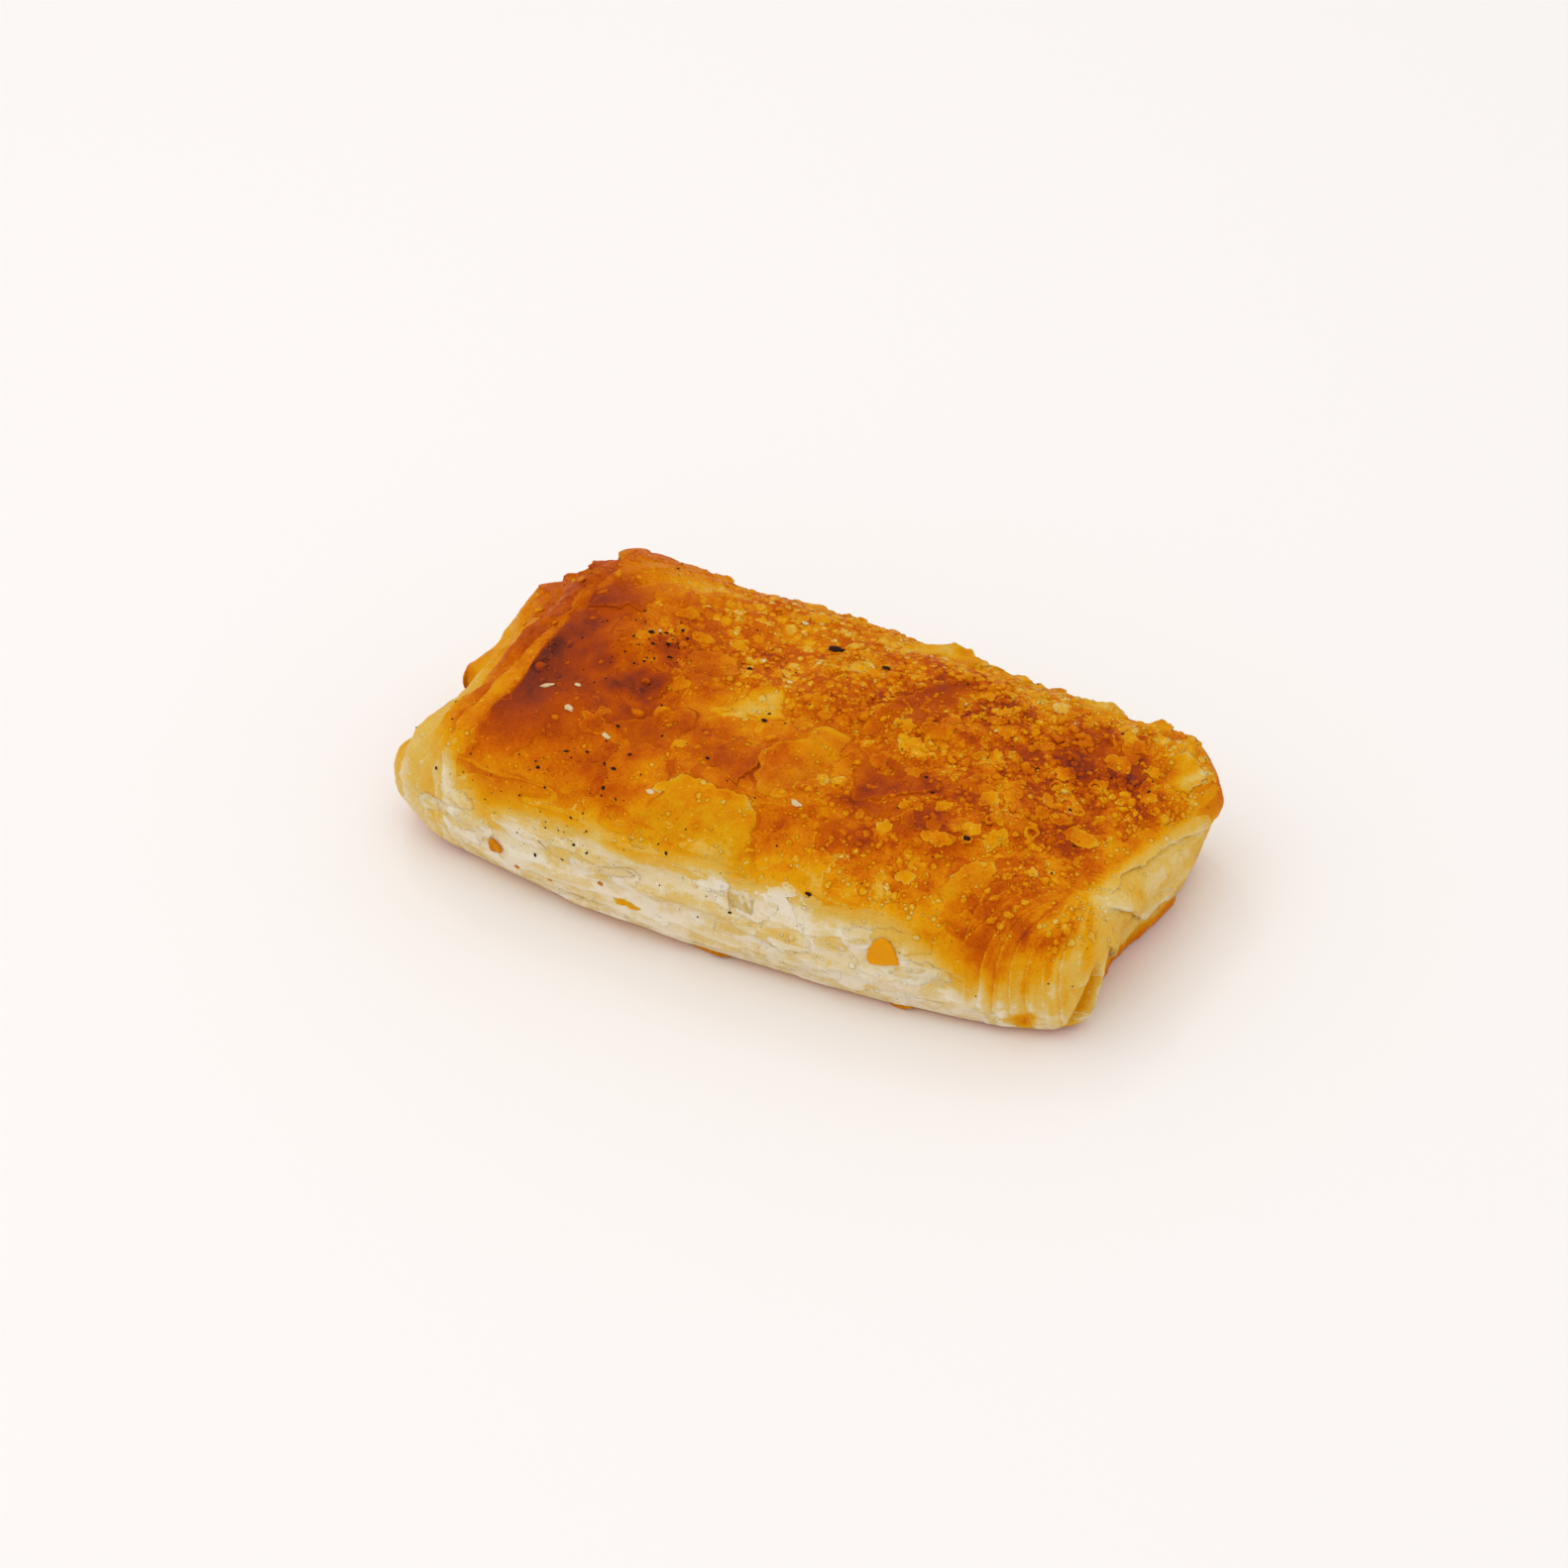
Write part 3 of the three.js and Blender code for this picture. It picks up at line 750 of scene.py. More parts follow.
def fan(points):
    """Number of the fold gathered at the left end, which grows from its outer rim to the ridge."""
    x, y, _ = points.T
    shift = x + 2.0 * field(points, 11, seed=8, octaves=3) + 1.2 * field(points, 4.5, seed=24, octaves=3)
    count = np.zeros(len(points))
    for outer, inner in zip(FOLDS[1:], FOLDS[:-1]):
        low = np.interp(y, FOLDS_Y, outer)
        high = np.interp(y, FOLDS_Y, inner)
        count += ((shift - low) / (high - low)).clip(0, 1)
    return count


def pleats(points):
    """Number of the pleat at the front right corner."""
    x, y, _ = points.T
    turn = np.degrees(np.arctan2(x - PLEAT_X, PLEAT_Y - y))
    return turn / PLEAT_TURN + 0.65 * field(points, 11, seed=9, octaves=2, stretch=(1, 2, 3))


def layers(points, normals):
    """Number of the dough sheet that shows at each point: it steps at a sheet's edge."""
    x, y, z = points.T
    side = sides(points, normals)
    over_top = 3 * field(points, 24, seed=6, octaves=4) + 0.02 * x
    along_side = z / 9 + 1.5 * field(points, 13, seed=7, octaves=3, stretch=(2.2, 2.2, 1))
    level = side.top * over_top + (1 - side.top) * along_side
    gathered = fan(points) + (along_side - fan(points)) * smooth(14, 32, y)
    level = np.where(side.left > 0.5, gathered, level)
    return np.where(side.corner > 0.5, pleats(points), level)


def blistering(points, normals):
    """How thickly the crust is covered in bubbles at each point, from 0 to 1."""
    x, y, _ = points.T
    where = 0.12 + 0.55 * smooth(-5, 45, x) + 0.6 * smooth(-8, 10, y) * smooth(-42, -20, x)
    uneven = 0.75 + 0.6 * field(points, 16, seed=10, octaves=2)
    return (where * uneven * smooth(0.45, 0.8, normals[:, 2])).clip(0, 1)


def cobbling(points, normals):
    """How closely small lumps are set at each point, from 0 to 1: most behind the middle of the top."""
    x, y, _ = points.T
    where = smooth(-10, 6, y) * smooth(-44, -26, x) * smooth(75, 35, x)
    uneven = 0.8 + 0.5 * field(points, 13, seed=20, octaves=2)
    return (where * uneven * smooth(0.3, 0.7, normals[:, 2])).clip(0, 1)


def relief(points, normals, level, bubble, shape):
    """How far the baked crust stands out from the solid's softened form at each point."""
    _, y, z = points.T
    side = sides(points, normals)
    part = level - np.floor(level)
    step = smooth(0.0, 0.1, part) - part
    saw = (1 - part) * smooth(0, 0.12, part) - 0.4
    height = side.top * shape.sheet_step / MM * step * smooth(-0.1, 0.3, field(points, 20, seed=11))
    height += (side.front + side.back + 0.5 * side.right) * shape.shingle / MM * saw
    gathered = smooth(0.95, 0.6, -normals[:, 1]) * smooth(8, 20, z) * (1 - 0.6 * smooth(-22, -31, y))
    height += (side.left * gathered + 0.2 * side.corner) * shape.fold / MM * saw
    height += side.left * 0.9 * field(points, 9, seed=23, octaves=3) * smooth(8, 16, z)
    height += shape.bubble * bubble
    lumpy = 0.7 * field(points, 19, seed=17, octaves=2) + 0.4 * field(points, 5, seed=12, octaves=3)
    height += side.top * lumpy
    height += 0.12 * field(points, 1.8, seed=13)
    return height * smooth(0.2, 2.0, z) * smooth(0.9, 0.5, -normals[:, 2])


def even_copy(source, cell, passes):
    """Points, faces and normals of an evenly meshed, softened copy of a solid, in millimetres."""
    welded = bmesh.new()
    welded.from_mesh(source.data)
    bmesh.ops.remove_doubles(welded, verts=welded.verts, dist=0.01 * MM)
    mesh = bpy.data.meshes.new("even_copy")
    welded.to_mesh(mesh)
    welded.free()
    copy = bpy.data.objects.new("even_copy", mesh)
    bpy.context.scene.collection.objects.link(copy)
    even = copy.modifiers.new("even", "REMESH")
    even.mode = "VOXEL"
    even.voxel_size = cell
    soften = copy.modifiers.new("soften", "SMOOTH")
    soften.factor = 0.5
    soften.iterations = passes
    final = bpy.data.meshes.new_from_object(copy.evaluated_get(bpy.context.evaluated_depsgraph_get()))
    fine = bmesh.new()
    fine.from_mesh(final)
    fine.normal_update()

    # all but the underside and the back gets a mesh twice as fine
    seen = [face for face in fine.faces if face.normal.z > -0.5 and face.normal.y < 0.7]
    edges = {edge for face in seen for edge in face.edges}
    bmesh.ops.subdivide_edges(fine, edges=list(edges), cuts=1, use_grid_fill=True)
    fine.normal_update()
    points = np.array([vertex.co for vertex in fine.verts])
    normals = np.array([vertex.normal for vertex in fine.verts])
    fine.verts.index_update()
    faces = [tuple(vertex.index for vertex in face.verts) for face in fine.faces]
    fine.free()
    bpy.data.objects.remove(copy)
    bpy.data.meshes.remove(mesh)
    bpy.data.meshes.remove(final)
    return points / MM, faces, normals


def built(name, points, faces, values, material):
    """A mesh object from millimetre points, with its values for the material, riding on the part."""
    mesh = bpy.data.meshes.new(name)
    mesh.from_pydata((points * MM).tolist(), [], faces)
    mesh.validate()
    for key, numbers in values.items():
        kind = "FLOAT_VECTOR" if np.ndim(numbers) == 2 else "FLOAT"
        attribute = mesh.attributes.new(key, kind, "POINT")
        store = "vector" if kind == "FLOAT_VECTOR" else "value"
        attribute.data.foreach_set(store, np.asarray(numbers, np.float32).ravel())
    mesh.shade_smooth()
    mesh.materials.append(material)
    piece = bpy.data.objects.new(name, mesh)
    bpy.context.scene.collection.objects.link(piece)
    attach(piece, BODY)
    return piece


class Surface:
    """The finished crust as something to lay pieces on, in millimetres."""

    def __init__(self, piece):
        mesh = piece.data
        self.points = np.empty(len(mesh.vertices) * 3)
        mesh.vertices.foreach_get("co", self.points)
        self.points = self.points.reshape(-1, 3) / MM
        self.normals = np.empty(len(mesh.vertices) * 3, np.float32)
        mesh.attributes["form_normal"].data.foreach_get("vector", self.normals)
        self.normals = self.normals.reshape(-1, 3).astype(float)
        self.faces = [tuple(face.vertices) for face in mesh.polygons]
        self.areas = np.array([face.area for face in mesh.polygons])
        self.corners = np.array([face[:3] for face in self.faces])
        self.centres = self.points[self.corners].mean(1)
        self.slopes = self.normals[self.corners].mean(1)
        self.tree = BVHTree.FromPolygons(self.points.tolist(), self.faces)
        browned = smooth(0.45, 0.55, self.of_faces(mesh, "browning"))
        self.bubbly = self.of_faces(mesh, "pebbled") ** 1.5 * browned

    def of_faces(self, mesh, name):
        """One of the crust's values, averaged over each face."""
        numbers = np.empty(len(self.points), np.float32)
        mesh.attributes[name].data.foreach_get("value", numbers)
        return numbers[self.corners].mean(1)

    def at(self, places):
        """Nearest points on the crust, and the form's normals there."""
        found = [self.tree.find_nearest(place) for place in places.tolist()]
        points = np.array([hit[0] for hit in found])
        normals = self.normals[self.corners[[hit[2] for hit in found]]].mean(1)
        return points, normals / np.linalg.norm(normals, axis=1, keepdims=True)

    def under(self, place):
        """Nearest point on the crust to one place, and the form's normal there."""
        points, normals = self.at(place[None])
        return points[0], normals[0]

    def cast(self, face, a, b):
        """Point on the crust at a place on one of its faces, or the nearest one to where the ray starts."""
        start = FACES[face].start(a, b)
        hit = self.tree.ray_cast(start, FACES[face].way)[0]
        return np.array(hit or self.tree.find_nearest(start)[0])

    def scatter(self, rng, count, density):
        """Random points on the crust, as thick on the ground as each face's density says."""
        weights = self.areas * density
        chosen = rng.choice(len(weights), count, p=weights / weights.sum())
        return self.centres[chosen] + rng.uniform(-0.3, 0.3, (count, 3))


@cache
def crust_surface():
    """The finished crust, read once."""
    return Surface(bpy.data.objects[CRUST])


class Batch:
    """Many small pieces gathered into one mesh."""

    def __init__(self):
        self.points = []
        self.normals = []
        self.tints = []
        self.faces = []
        self.count = 0

    def add(self, points, normals, faces, tint):
        """Adds one piece. Its tint says how much paler or darker it is than the crust below."""
        self.faces += [tuple(self.count + corner for corner in face) for face in faces]
        self.points.append(points)
        self.normals.append(normals)
        self.tints.append(np.broadcast_to(tint, len(points)))
        self.count += len(points)

    def build(self, name, material, spread=0.0):
        """Makes the mesh. Spread says how far apart the layer numbers of its pieces are."""
        points = np.concatenate(self.points)
        normals = np.concatenate(self.normals)
        order = np.concatenate([np.full(len(part), i) for i, part in enumerate(self.points)])
        baked = browning(points, normals) + np.concatenate(self.tints)
        values = {
            "browning": baked.clip(0, 1),
            "layer": PLAIN_LAYER + spread * order,
            "opening": np.full(len(points), -1.0),
            "pebbled": np.full(len(points), LOOSE_PEBBLED),
            "cobbled": np.zeros(len(points)),
        }
        return built(name, points, self.faces, values, material)


def tangents(normal, way):
    """Two directions on the crust at right angles, the first as near to way as can be."""
    along = way - normal * np.dot(way, normal)
    along = along / np.linalg.norm(along)
    return along, np.cross(normal, along)


def closed_faces(rows, columns):
    """Faces of two like grids of points, one above the other, closed round their rim."""
    under = rows * columns
    index = np.arange(under).reshape(rows, columns)
    a, b = index[:-1, :-1].ravel(), index[1:, :-1].ravel()
    c, d = index[1:, 1:].ravel(), index[:-1, 1:].ravel()
    upper = list(zip(a, b, c, d))
    lower = [(d + under, c + under, b + under, a + under) for a, b, c, d in upper]
    ring = [*index[:-1, 0], *index[-1, :-1], *index[:0:-1, -1], *index[0, :0:-1]]
    after = ring[1:] + ring[:1]
    rim = [(p, p + under, q + under, q) for p, q in zip(ring, after)]
    return [tuple(int(corner) for corner in face) for face in upper + lower + rim]


def oval(long, wide):
    """Reach of an oval from its middle in each direction."""

    def reach(angles):
        return 1 / np.hypot(2 * np.cos(angles) / long, 2 * np.sin(angles) / wide)

    return reach


def polygon(corners):
    """Reach of a polygon, given round the origin, from the origin in each direction."""
    corners = np.asarray(corners, float)

    def reach(angles):
        way = np.stack([np.cos(angles), np.sin(angles)], 1)
        found = np.zeros(len(angles))
        for first, second in zip(corners, np.roll(corners, -1, 0)):
            edge = second - first
            turn = way[:, 0] * edge[1] - way[:, 1] * edge[0]
            turn = np.where(np.abs(turn) < 1e-9, 1e-9, turn)
            out = (first[0] * edge[1] - first[1] * edge[0]) / turn
            share = (first[0] * way[:, 1] - first[1] * way[:, 0]) / turn
            met = (out > 0) & (share >= 0) & (share <= 1)
            found = np.where(met, np.maximum(found, out), found)
        return found

    return reach


def torn_grid(reach, cells, ragged, seed):
    """Grid of places on a torn sheet, with each one's ring (1 at the rim) and direction."""
    rows = np.linspace(-1, 1, cells + 1)
    u, v = (grid.ravel() for grid in np.meshgrid(rows, rows, indexing="ij"))
    ring = np.maximum(np.abs(u), np.abs(v))
    angle = np.arctan2(v, u)
    round_about = np.stack([1.7 * np.cos(angle), 1.7 * np.sin(angle), np.full(len(u), seed * 3.7)], 1)
    out = ring * reach(angle) * (1 + ragged * field(round_about, 1, seed=0, octaves=5))
    return np.stack([out * np.cos(angle), out * np.sin(angle)], 1), ring, angle


def laid_sheet(points, normals, ring, angle, free, lift, root, base=0.12):
    """A thin wedge of dough over a square grid of points: its free edge stands up, its root sinks in."""
    loose = ring * np.cos(angle - math.radians(free))
    height = base + lift * np.maximum(0, loose) ** 1.5 - root * np.maximum(0, -loose)
    upper = points + normals * height[:, None]
    lower = points + normals * np.minimum(height - SHEET, -0.1)[:, None]
    cells = math.isqrt(len(points))
    faces = closed_faces(cells, cells)
    points = np.concatenate([upper, lower])
    return points, np.concatenate([normals, normals]), faces, np.tile(ring, 2), np.tile(loose, 2)


def torn_sheet(surface, centre, way, size, free, lift, seed, cells=12, ragged=0.5, root=0.3):
    """An oval torn sheet laid on the crust round a point, with its length along the given way."""
    places, ring, angle = torn_grid(oval(*size), cells, ragged, seed)
    place, normal = surface.under(centre)
    along, across = tangents(normal, way)
    points, normals = surface.at(place + places[:, :1] * along + places[:, 1:] * across)
    return laid_sheet(points, normals, ring, angle, free, lift, root)


def traced_sheet(surface, face, corners, free, lift, seed, ragged, base, cells=28):
    """A torn sheet laid on one face of the crust inside the given corners."""
    corners = np.asarray(corners, float)
    middle = corners.mean(0)
    places, ring, angle = torn_grid(polygon(corners - middle), cells, ragged, seed)
    points, normals = surface.at(np.array([surface.cast(face, a, b) for a, b in places + middle]))
    return laid_sheet(points, normals, ring, angle, free, lift, root=0.2, base=base)


def hanging_sheet(surface, sheet, seed, rows=12, columns=64):
    """Points, normals, faces and rim shares of a torn sheet that hangs down the right end."""
    y = np.linspace(sheet.across[0], sheet.across[-1], columns)
    top = np.interp(y, sheet.across, sheet.top)
    low = np.interp(y, sheet.across, sheet.low)
    low = low + 0.5 * field(np.stack([y, low, np.full(columns, 5.0 * seed)], 1), 4, seed=seed, octaves=3)
    down = np.linspace(0, 1, rows)
    z = (top[None] + (low - top)[None] * down[:, None]).clip(0.15)
    places = np.array([surface.cast("right", a, b) for a, b in zip(np.tile(y, rows), z.ravel())])
    points, normals = surface.at(places)
    share = np.repeat(down, columns)
    end = np.tile(np.linspace(-1, 1, columns), rows)
    merged = smooth(1.0, 0.8, np.abs(end))
    tucked = 0.5 * smooth(0.15, 0, share) * merged
    height = (merged * (sheet.lift * share**1.3 + 0.65) - 0.5 - tucked)[:, None]
    upper = points + normals * height
    upper[:, 2] = upper[:, 2].clip(0.3)
    lower = points - normals * SHEET
    lower[:, 2] = lower[:, 2].clip(0)
    faces = closed_faces(rows, columns)
    return np.concatenate([upper, lower]), np.concatenate([normals, normals]), faces, np.tile(share, 2)


def rounded(place, normal, radius, profile, waves, rng, sectors, least_width=1.0):
    """Points round a bubble that stands on a place, ring by ring.

    The profile gives each ring's share of the radius and its height. The waves give how often and how far
    the rings swing in and out. A least width below 1 makes the bubble longer one way by chance.
    """
    along, across = tangents(normal, rng.normal(size=3))
    width = rng.uniform(least_width, 1.0) if least_width < 1 else 1.0
    angles = np.arange(sectors) * 2 * math.pi / sectors
    wobble = 1 + sum(far * np.sin(angles * often + rng.uniform(0, 6)) for often, far in waves)
    offsets = np.outer(np.cos(angles), along) + np.outer(np.sin(angles) * width, across)
    rim = offsets * (radius * wobble)[:, None]
    return np.concatenate([place + rim * share + normal * rise for share, rise in profile])


def band(first, second, sectors):
    """Faces between two rings of points, given by where each ring starts."""
    after = [(k + 1) % sectors for k in range(sectors)]
    return [(first + k, second + k, second + after[k], first + after[k]) for k in range(sectors)]


def dome(surface, centre, radius, height, rng, rings=4, sectors=12):
    """Points, normals, faces and rim shares of a bubble that stands on the crust."""
    place, normal = surface.under(centre)
    shares = [ring / rings for ring in range(1, rings + 1)]
    profile = [(share, height * (1 - share**2.4) - 0.2 * share**4) for share in shares]
    flanks = rounded(place, normal, radius, profile, DOME_WAVES, rng, sectors, DOME_WIDTH)
    points = np.concatenate([[place + normal * height], flanks])
    faces = [(0, 1 + k, 1 + (k + 1) % sectors) for k in range(sectors)]
    for ring in range(rings - 1):
        faces += band(1 + ring * sectors, 1 + (ring + 1) * sectors, sectors)
    faces.append(tuple(1 + (rings - 1) * sectors + k for k in reversed(range(sectors))))
    return points, np.tile(normal, (len(points), 1)), faces, np.array([0.0, *np.repeat(shares, sectors)])


def broken_dome(surface, centre, radius, rng, sectors=16):
    """Points, normals and faces of a bubble whose top fell in: a low ring round a hole."""
    place, normal = surface.under(centre)
    profile = [(share, rise * radius) for share, rise in BROKEN_PROFILE]
    points = rounded(place, normal, radius, profile, BROKEN_WAVES, rng, sectors)
    count = len(profile)
    faces = []
    for ring in range(count):
        faces += band((ring + 1) % count * sectors, ring * sectors, sectors)
    return points, np.tile(normal, (len(points), 1)), faces


def grain(place, normal, way, radii, rng, sink=0.3, detail=1, rough=0.3):
    """Points, normals and faces of a rough grain half sunk in the crust, with its length along way."""
    ball = bmesh.new()
    bmesh.ops.create_icosphere(ball, subdivisions=detail, radius=1)
    corners = np.array([vertex.co for vertex in ball.verts])
    faces = [tuple(vertex.index for vertex in face.verts) for face in ball.faces]
    ball.free()
    corners = corners * (1 + rough * field(corners, 0.8, seed=rng.integers(1000), octaves=2))[:, None]
    along, across = tangents(normal, way)
    axes = np.stack([along * radii[0], across * radii[1], normal * radii[2]])
    points = place + corners @ axes + normal * radii[2] * (1 - 2 * sink)
    return points, np.tile(normal, (len(points), 1)), faces


# Settings shared by many shader nodes. An eased range carries a value from two bounds over to two others
ADD, SUBTRACT, MULTIPLY, DIVIDE, MULTIPLY_ADD, MAXIMUM, LESS_THAN, FLOOR, FRACT = (
    {"operation": operation}
    for operation in "ADD SUBTRACT MULTIPLY DIVIDE MULTIPLY_ADD MAXIMUM LESS_THAN FLOOR FRACT".split()
)
EASED = {"interpolation_type": "SMOOTHSTEP"}

# How fibres are drawn out along the dough sheets, and how flour lies on them
FIBRE_STRETCH = (0.3, 0.3, 1.5)
FLOUR_STRETCH = (0.6, 0.6, 1.1)

# How far edges in the skin stray, in fine and in coarse wobbles
FINE_STRAY = 0.9
COARSE_STRAY = 2.5


def add_node(tree, kind, settings, *inputs, **named):
    """Adds a node with its settings, and returns its first output.

    Each input, in order or by name, gets a value or a link from another node's output.
    """
    node = tree.nodes.new("ShaderNode" + kind)
    for key, value in settings.items():
        setattr(node, key, value)
    for key, value in (*enumerate(inputs), *named.items()):
        if isinstance(value, bpy.types.NodeSocket):
            tree.links.new(value, node.inputs[key])
        else:
            node.inputs[key].default_value = value
    return node.outputs[0]


def dough_material(name, colours, roughness, bump):
    """Baked wheat dough brushed with oil: a satin skin whose colour follows how far it is baked.

    Thin sheets let light through, so the pale parts glow a little; fine starch grains and bubbles break
    the gloss into small glints, and each sheet has its own tint with a paler torn edge and a painted shadow
    past it.
    """
    material = bpy.data.materials.new(name)
    material.use_nodes = True
    tree = material.node_tree
    shader = tree.nodes["Principled BSDF"]
    add = partial(add_node, tree)

    baked, layer, opening, pebbled, cobbled = (
        add("Attribute", {"attribute_name": value}).node.outputs["Fac"] for value in VALUES
    )
    place = add("TexCoord", {}).node.outputs["Object"]
    drawn = add("VectorMath", MULTIPLY, place, FIBRE_STRETCH)
    dusted = add("VectorMath", MULTIPLY, place, FLOUR_STRETCH)

    # noise by its size in millimetres, detail and roughness; real starch grains are finer than 0.55 mm
    mottle, starch, shred, fibre, flour, fine, coarse = (
        add("TexNoise", {}, Vector=vector, Scale=1 / (size * MM), Detail=detail, Roughness=rough)
        for vector, size, detail, rough in (
            (place, 2.2, 7, 0.7),
            (place, 0.55, 2, 0.5),
            (place, 1.3, 3, 0.6),
            (drawn, 2.0, 4, 0.6),
            (dusted, 6.0, 7, 0.7),
            (place, 1.2, 3, 0.6),
            (place, 3.0, 3, 0.6),
        )
    )

    # coordinates warped a little, so that edges in the skin are ragged
    jitter, warped = (
        add("VectorMath", MULTIPLY_ADD, wobble.node.outputs["Color"], (stray * MM,) * 3, place)
        for wobble, stray in ((fine, FINE_STRAY), (coarse, COARSE_STRAY))
    )

    # cells by their size in millimetres: scabs, small and tiny bubbles, two sizes of lumps, and pinheads
    scab, small_cell, tiny_cell, large_lump, small_lump, pin = (
        add("TexVoronoi", {}, Vector=vector, Scale=1 / (size * MM)).node.outputs
        for vector, size in (
            (jitter, 3.2),
            (jitter, 2.2),
            (jitter, 1.25),
            (warped, 3.0),
            (jitter, 1.7),
            (place, 2.6),
        )
    )

    # torn edges: the sheet's number, frayed, gives each sheet a tint and its edge a pale line, partly the
    # thin dough and partly painted highlight, with a line of painted shadow just past it
    tattered = add("Math", SUBTRACT, shred, 0.5)
    frayed = add("Math", MULTIPLY_ADD, tattered, 0.35, layer)
    chance = add("TexWhiteNoise", {"noise_dimensions": "1D"}, W=add("Math", FLOOR, frayed))
    tint = add("Math", MULTIPLY, add("Math", SUBTRACT, chance, 0.5), 0.18)
    within = add("Math", FRACT, frayed)
    pale_and_lit_edge = add("MapRange", EASED, within, 0.0, 0.07, -0.15, 0.0)
    # a line of painted shadow just past each torn edge
    painted_shadow_edge = add("MapRange", EASED, within, 0.93, 1.0, 0.0, 0.06)
    edge = add("Math", ADD, pale_and_lit_edge, painted_shadow_edge)
    thin = add("MapRange", EASED, within, 0.0, 0.7, -0.05, 0.02)

    # windows: ragged holes in the browned sheets with the paler dough below
    ragged = add("Math", MULTIPLY_ADD, tattered, 1.6, opening)
    torn = add("MapRange", EASED, ragged, -0.02, 0.04, 0.0, -0.12)
    window = add("Math", ADD, torn, add("MapRange", EASED, ragged, 0.15, 0.6, 0.0, -0.05))

    # small scabs with crisp edges, each with a tint of its own
    own = add("SeparateColor", {}, scab["Color"]).node.outputs["Green"]
    scabby = add("Math", MULTIPLY, pebbled, 0.14)
    tint = add("Math", MULTIPLY_ADD, add("Math", SUBTRACT, own, 0.5), scabby, tint)

    # bubbles too small for the mesh: pale tops with rims of painted shade round their feet, thickest where
    # the crust is pebbled
    def blister(cell, share):
        """Tops, and rims of painted shade, of bubbles in a share of the cells."""
        luck = add("SeparateColor", {}, cell["Color"]).node.outputs
        taken = add("Math", LESS_THAN, luck["Red"], add("Math", MULTIPLY, pebbled, share))
        radius = add("Math", MULTIPLY_ADD, luck["Green"], 0.2, 0.3)
        out = add("Math", DIVIDE, cell["Distance"], radius)
        top = add("Math", MULTIPLY, taken, add("MapRange", EASED, out, 0.65, 1.0, 1.0, 0.0))
        rim = add("Math", MULTIPLY, taken, add("MapRange", EASED, out, 1.0, 1.5, 1.0, 0.0))
        return top, rim

    small, small_rim_shade = blister(small_cell, 0.6)
    tiny, tiny_rim_shade = blister(tiny_cell, 0.8)
    raised = add("Math", MAXIMUM, small, tiny)
    rim_shade = add("Math", SUBTRACT, add("Math", MAXIMUM, small_rim_shade, tiny_rim_shade), raised)
    bubble = add("Math", MULTIPLY_ADD, raised, -0.15, add("Math", MULTIPLY, rim_shade, 0.06))

    # lumps set close together: each has its own tint, and painted shade darkens the gaps between them
    def lumps(cell):
        """Rounded lumps, one in each cell, some higher than others."""
        luck = add("SeparateColor", {}, cell["Color"])
        return add("Math", MULTIPLY, add("MapRange", EASED, cell["Distance"], 0.3, 0.62, 1.0, 0.0), luck)

    lump = add("Math", MULTIPLY, add("Math", MAXIMUM, lumps(large_lump), lumps(small_lump)), cobbled)
    lump_tint_and_gap_shade = add("Math", MULTIPLY_ADD, lump, -0.36, add("Math", MULTIPLY, cobbled, 0.14))
    bubble = add("Math", ADD, bubble, lump_tint_and_gap_shade)

    # scattered pale pinhead dots
    bubble = add("Math", ADD, bubble, add("MapRange", EASED, pin["Distance"], 0.09, 0.14, -0.16, 0.0))
    bubble = add("Math", MULTIPLY, bubble, add("MapRange", EASED, ragged, -0.05, 0.05, 1.0, 0.25))

    # mottling grows with the baking until the crust darkens
    rising = add("MapRange", EASED, baked, 0.1, 0.55, 0.3, 1.0)
    browned = add("Math", MULTIPLY, rising, add("MapRange", EASED, baked, 0.62, 0.8, 1.0, 0.3))
    mottling = add("MapRange", EASED, pebbled, 0.1, 0.6, 0.2, 0.36)
    spots = add("Math", MULTIPLY, add("Math", SUBTRACT, mottle, 0.5), mottling)
    grains = add("Math", MULTIPLY, add("Math", SUBTRACT, starch, 0.5), 0.2)
    shade = add("Math", ADD, add("Math", ADD, spots, add("Math", ADD, grains, bubble)), tint)
    edge_and_shadow_line = add("Math", MULTIPLY, edge, add("MapRange", EASED, baked, 0.15, 0.35, 0.2, 1.0))
    shade = add("Math", MULTIPLY_ADD, shade, browned, edge_and_shadow_line)

    # fibres and flour show where the dough is pale, which is paler towards a thin torn edge
    stringy = add("MapRange", EASED, baked, 0.1, 0.4, 0.09, 0.0)
    strands = add("Math", MULTIPLY, add("Math", SUBTRACT, fibre, 0.5), stringy)
    floury = add("MapRange", EASED, baked, 0.1, 0.25, 1.0, 0.0)
    dust = add("Math", MULTIPLY, add("MapRange", EASED, flour, 0.44, 0.56, 0.025, -0.07), floury)
    sheer = add("Math", MULTIPLY_ADD, thin, add("MapRange", EASED, baked, 0.15, 0.3, 1.0, 0.0), dust)
    strands = add("Math", ADD, strands, sheer)
    total = add("Math", ADD, add("Math", ADD, baked, add("Math", ADD, shade, window)), strands)

    stops = (
        (0.00, colours.white),
        (0.11, colours.cream),
        (0.19, colours.straw),
        (0.30, colours.yellow),
        (0.43, colours.golden),
        (0.58, colours.orange),
        (0.71, colours.brown),
        (0.81, colours.russet),
        (0.90, colours.dark),
        (1.00, colours.char),
    )
    tone = add("ValToRGB", {}, total)
    ramp = tone.node.color_ramp.elements
    for position, stop in stops[1:-1]:
        ramp.new(position).color = stop
    ramp[0].color = stops[0][1]
    ramp[-1].color = stops[-1][1]

    # relief too fine for the mesh
    height = add("Math", MULTIPLY_ADD, starch, 0.35, mottle)
    height = add("Math", MULTIPLY_ADD, fibre, add("MapRange", EASED, baked, 0.1, 0.4, 0.3, 0.0), height)
    height = add("Math", MULTIPLY_ADD, raised, 0.8, height)
    height = add("Math", MULTIPLY_ADD, lump, 0.7, height)

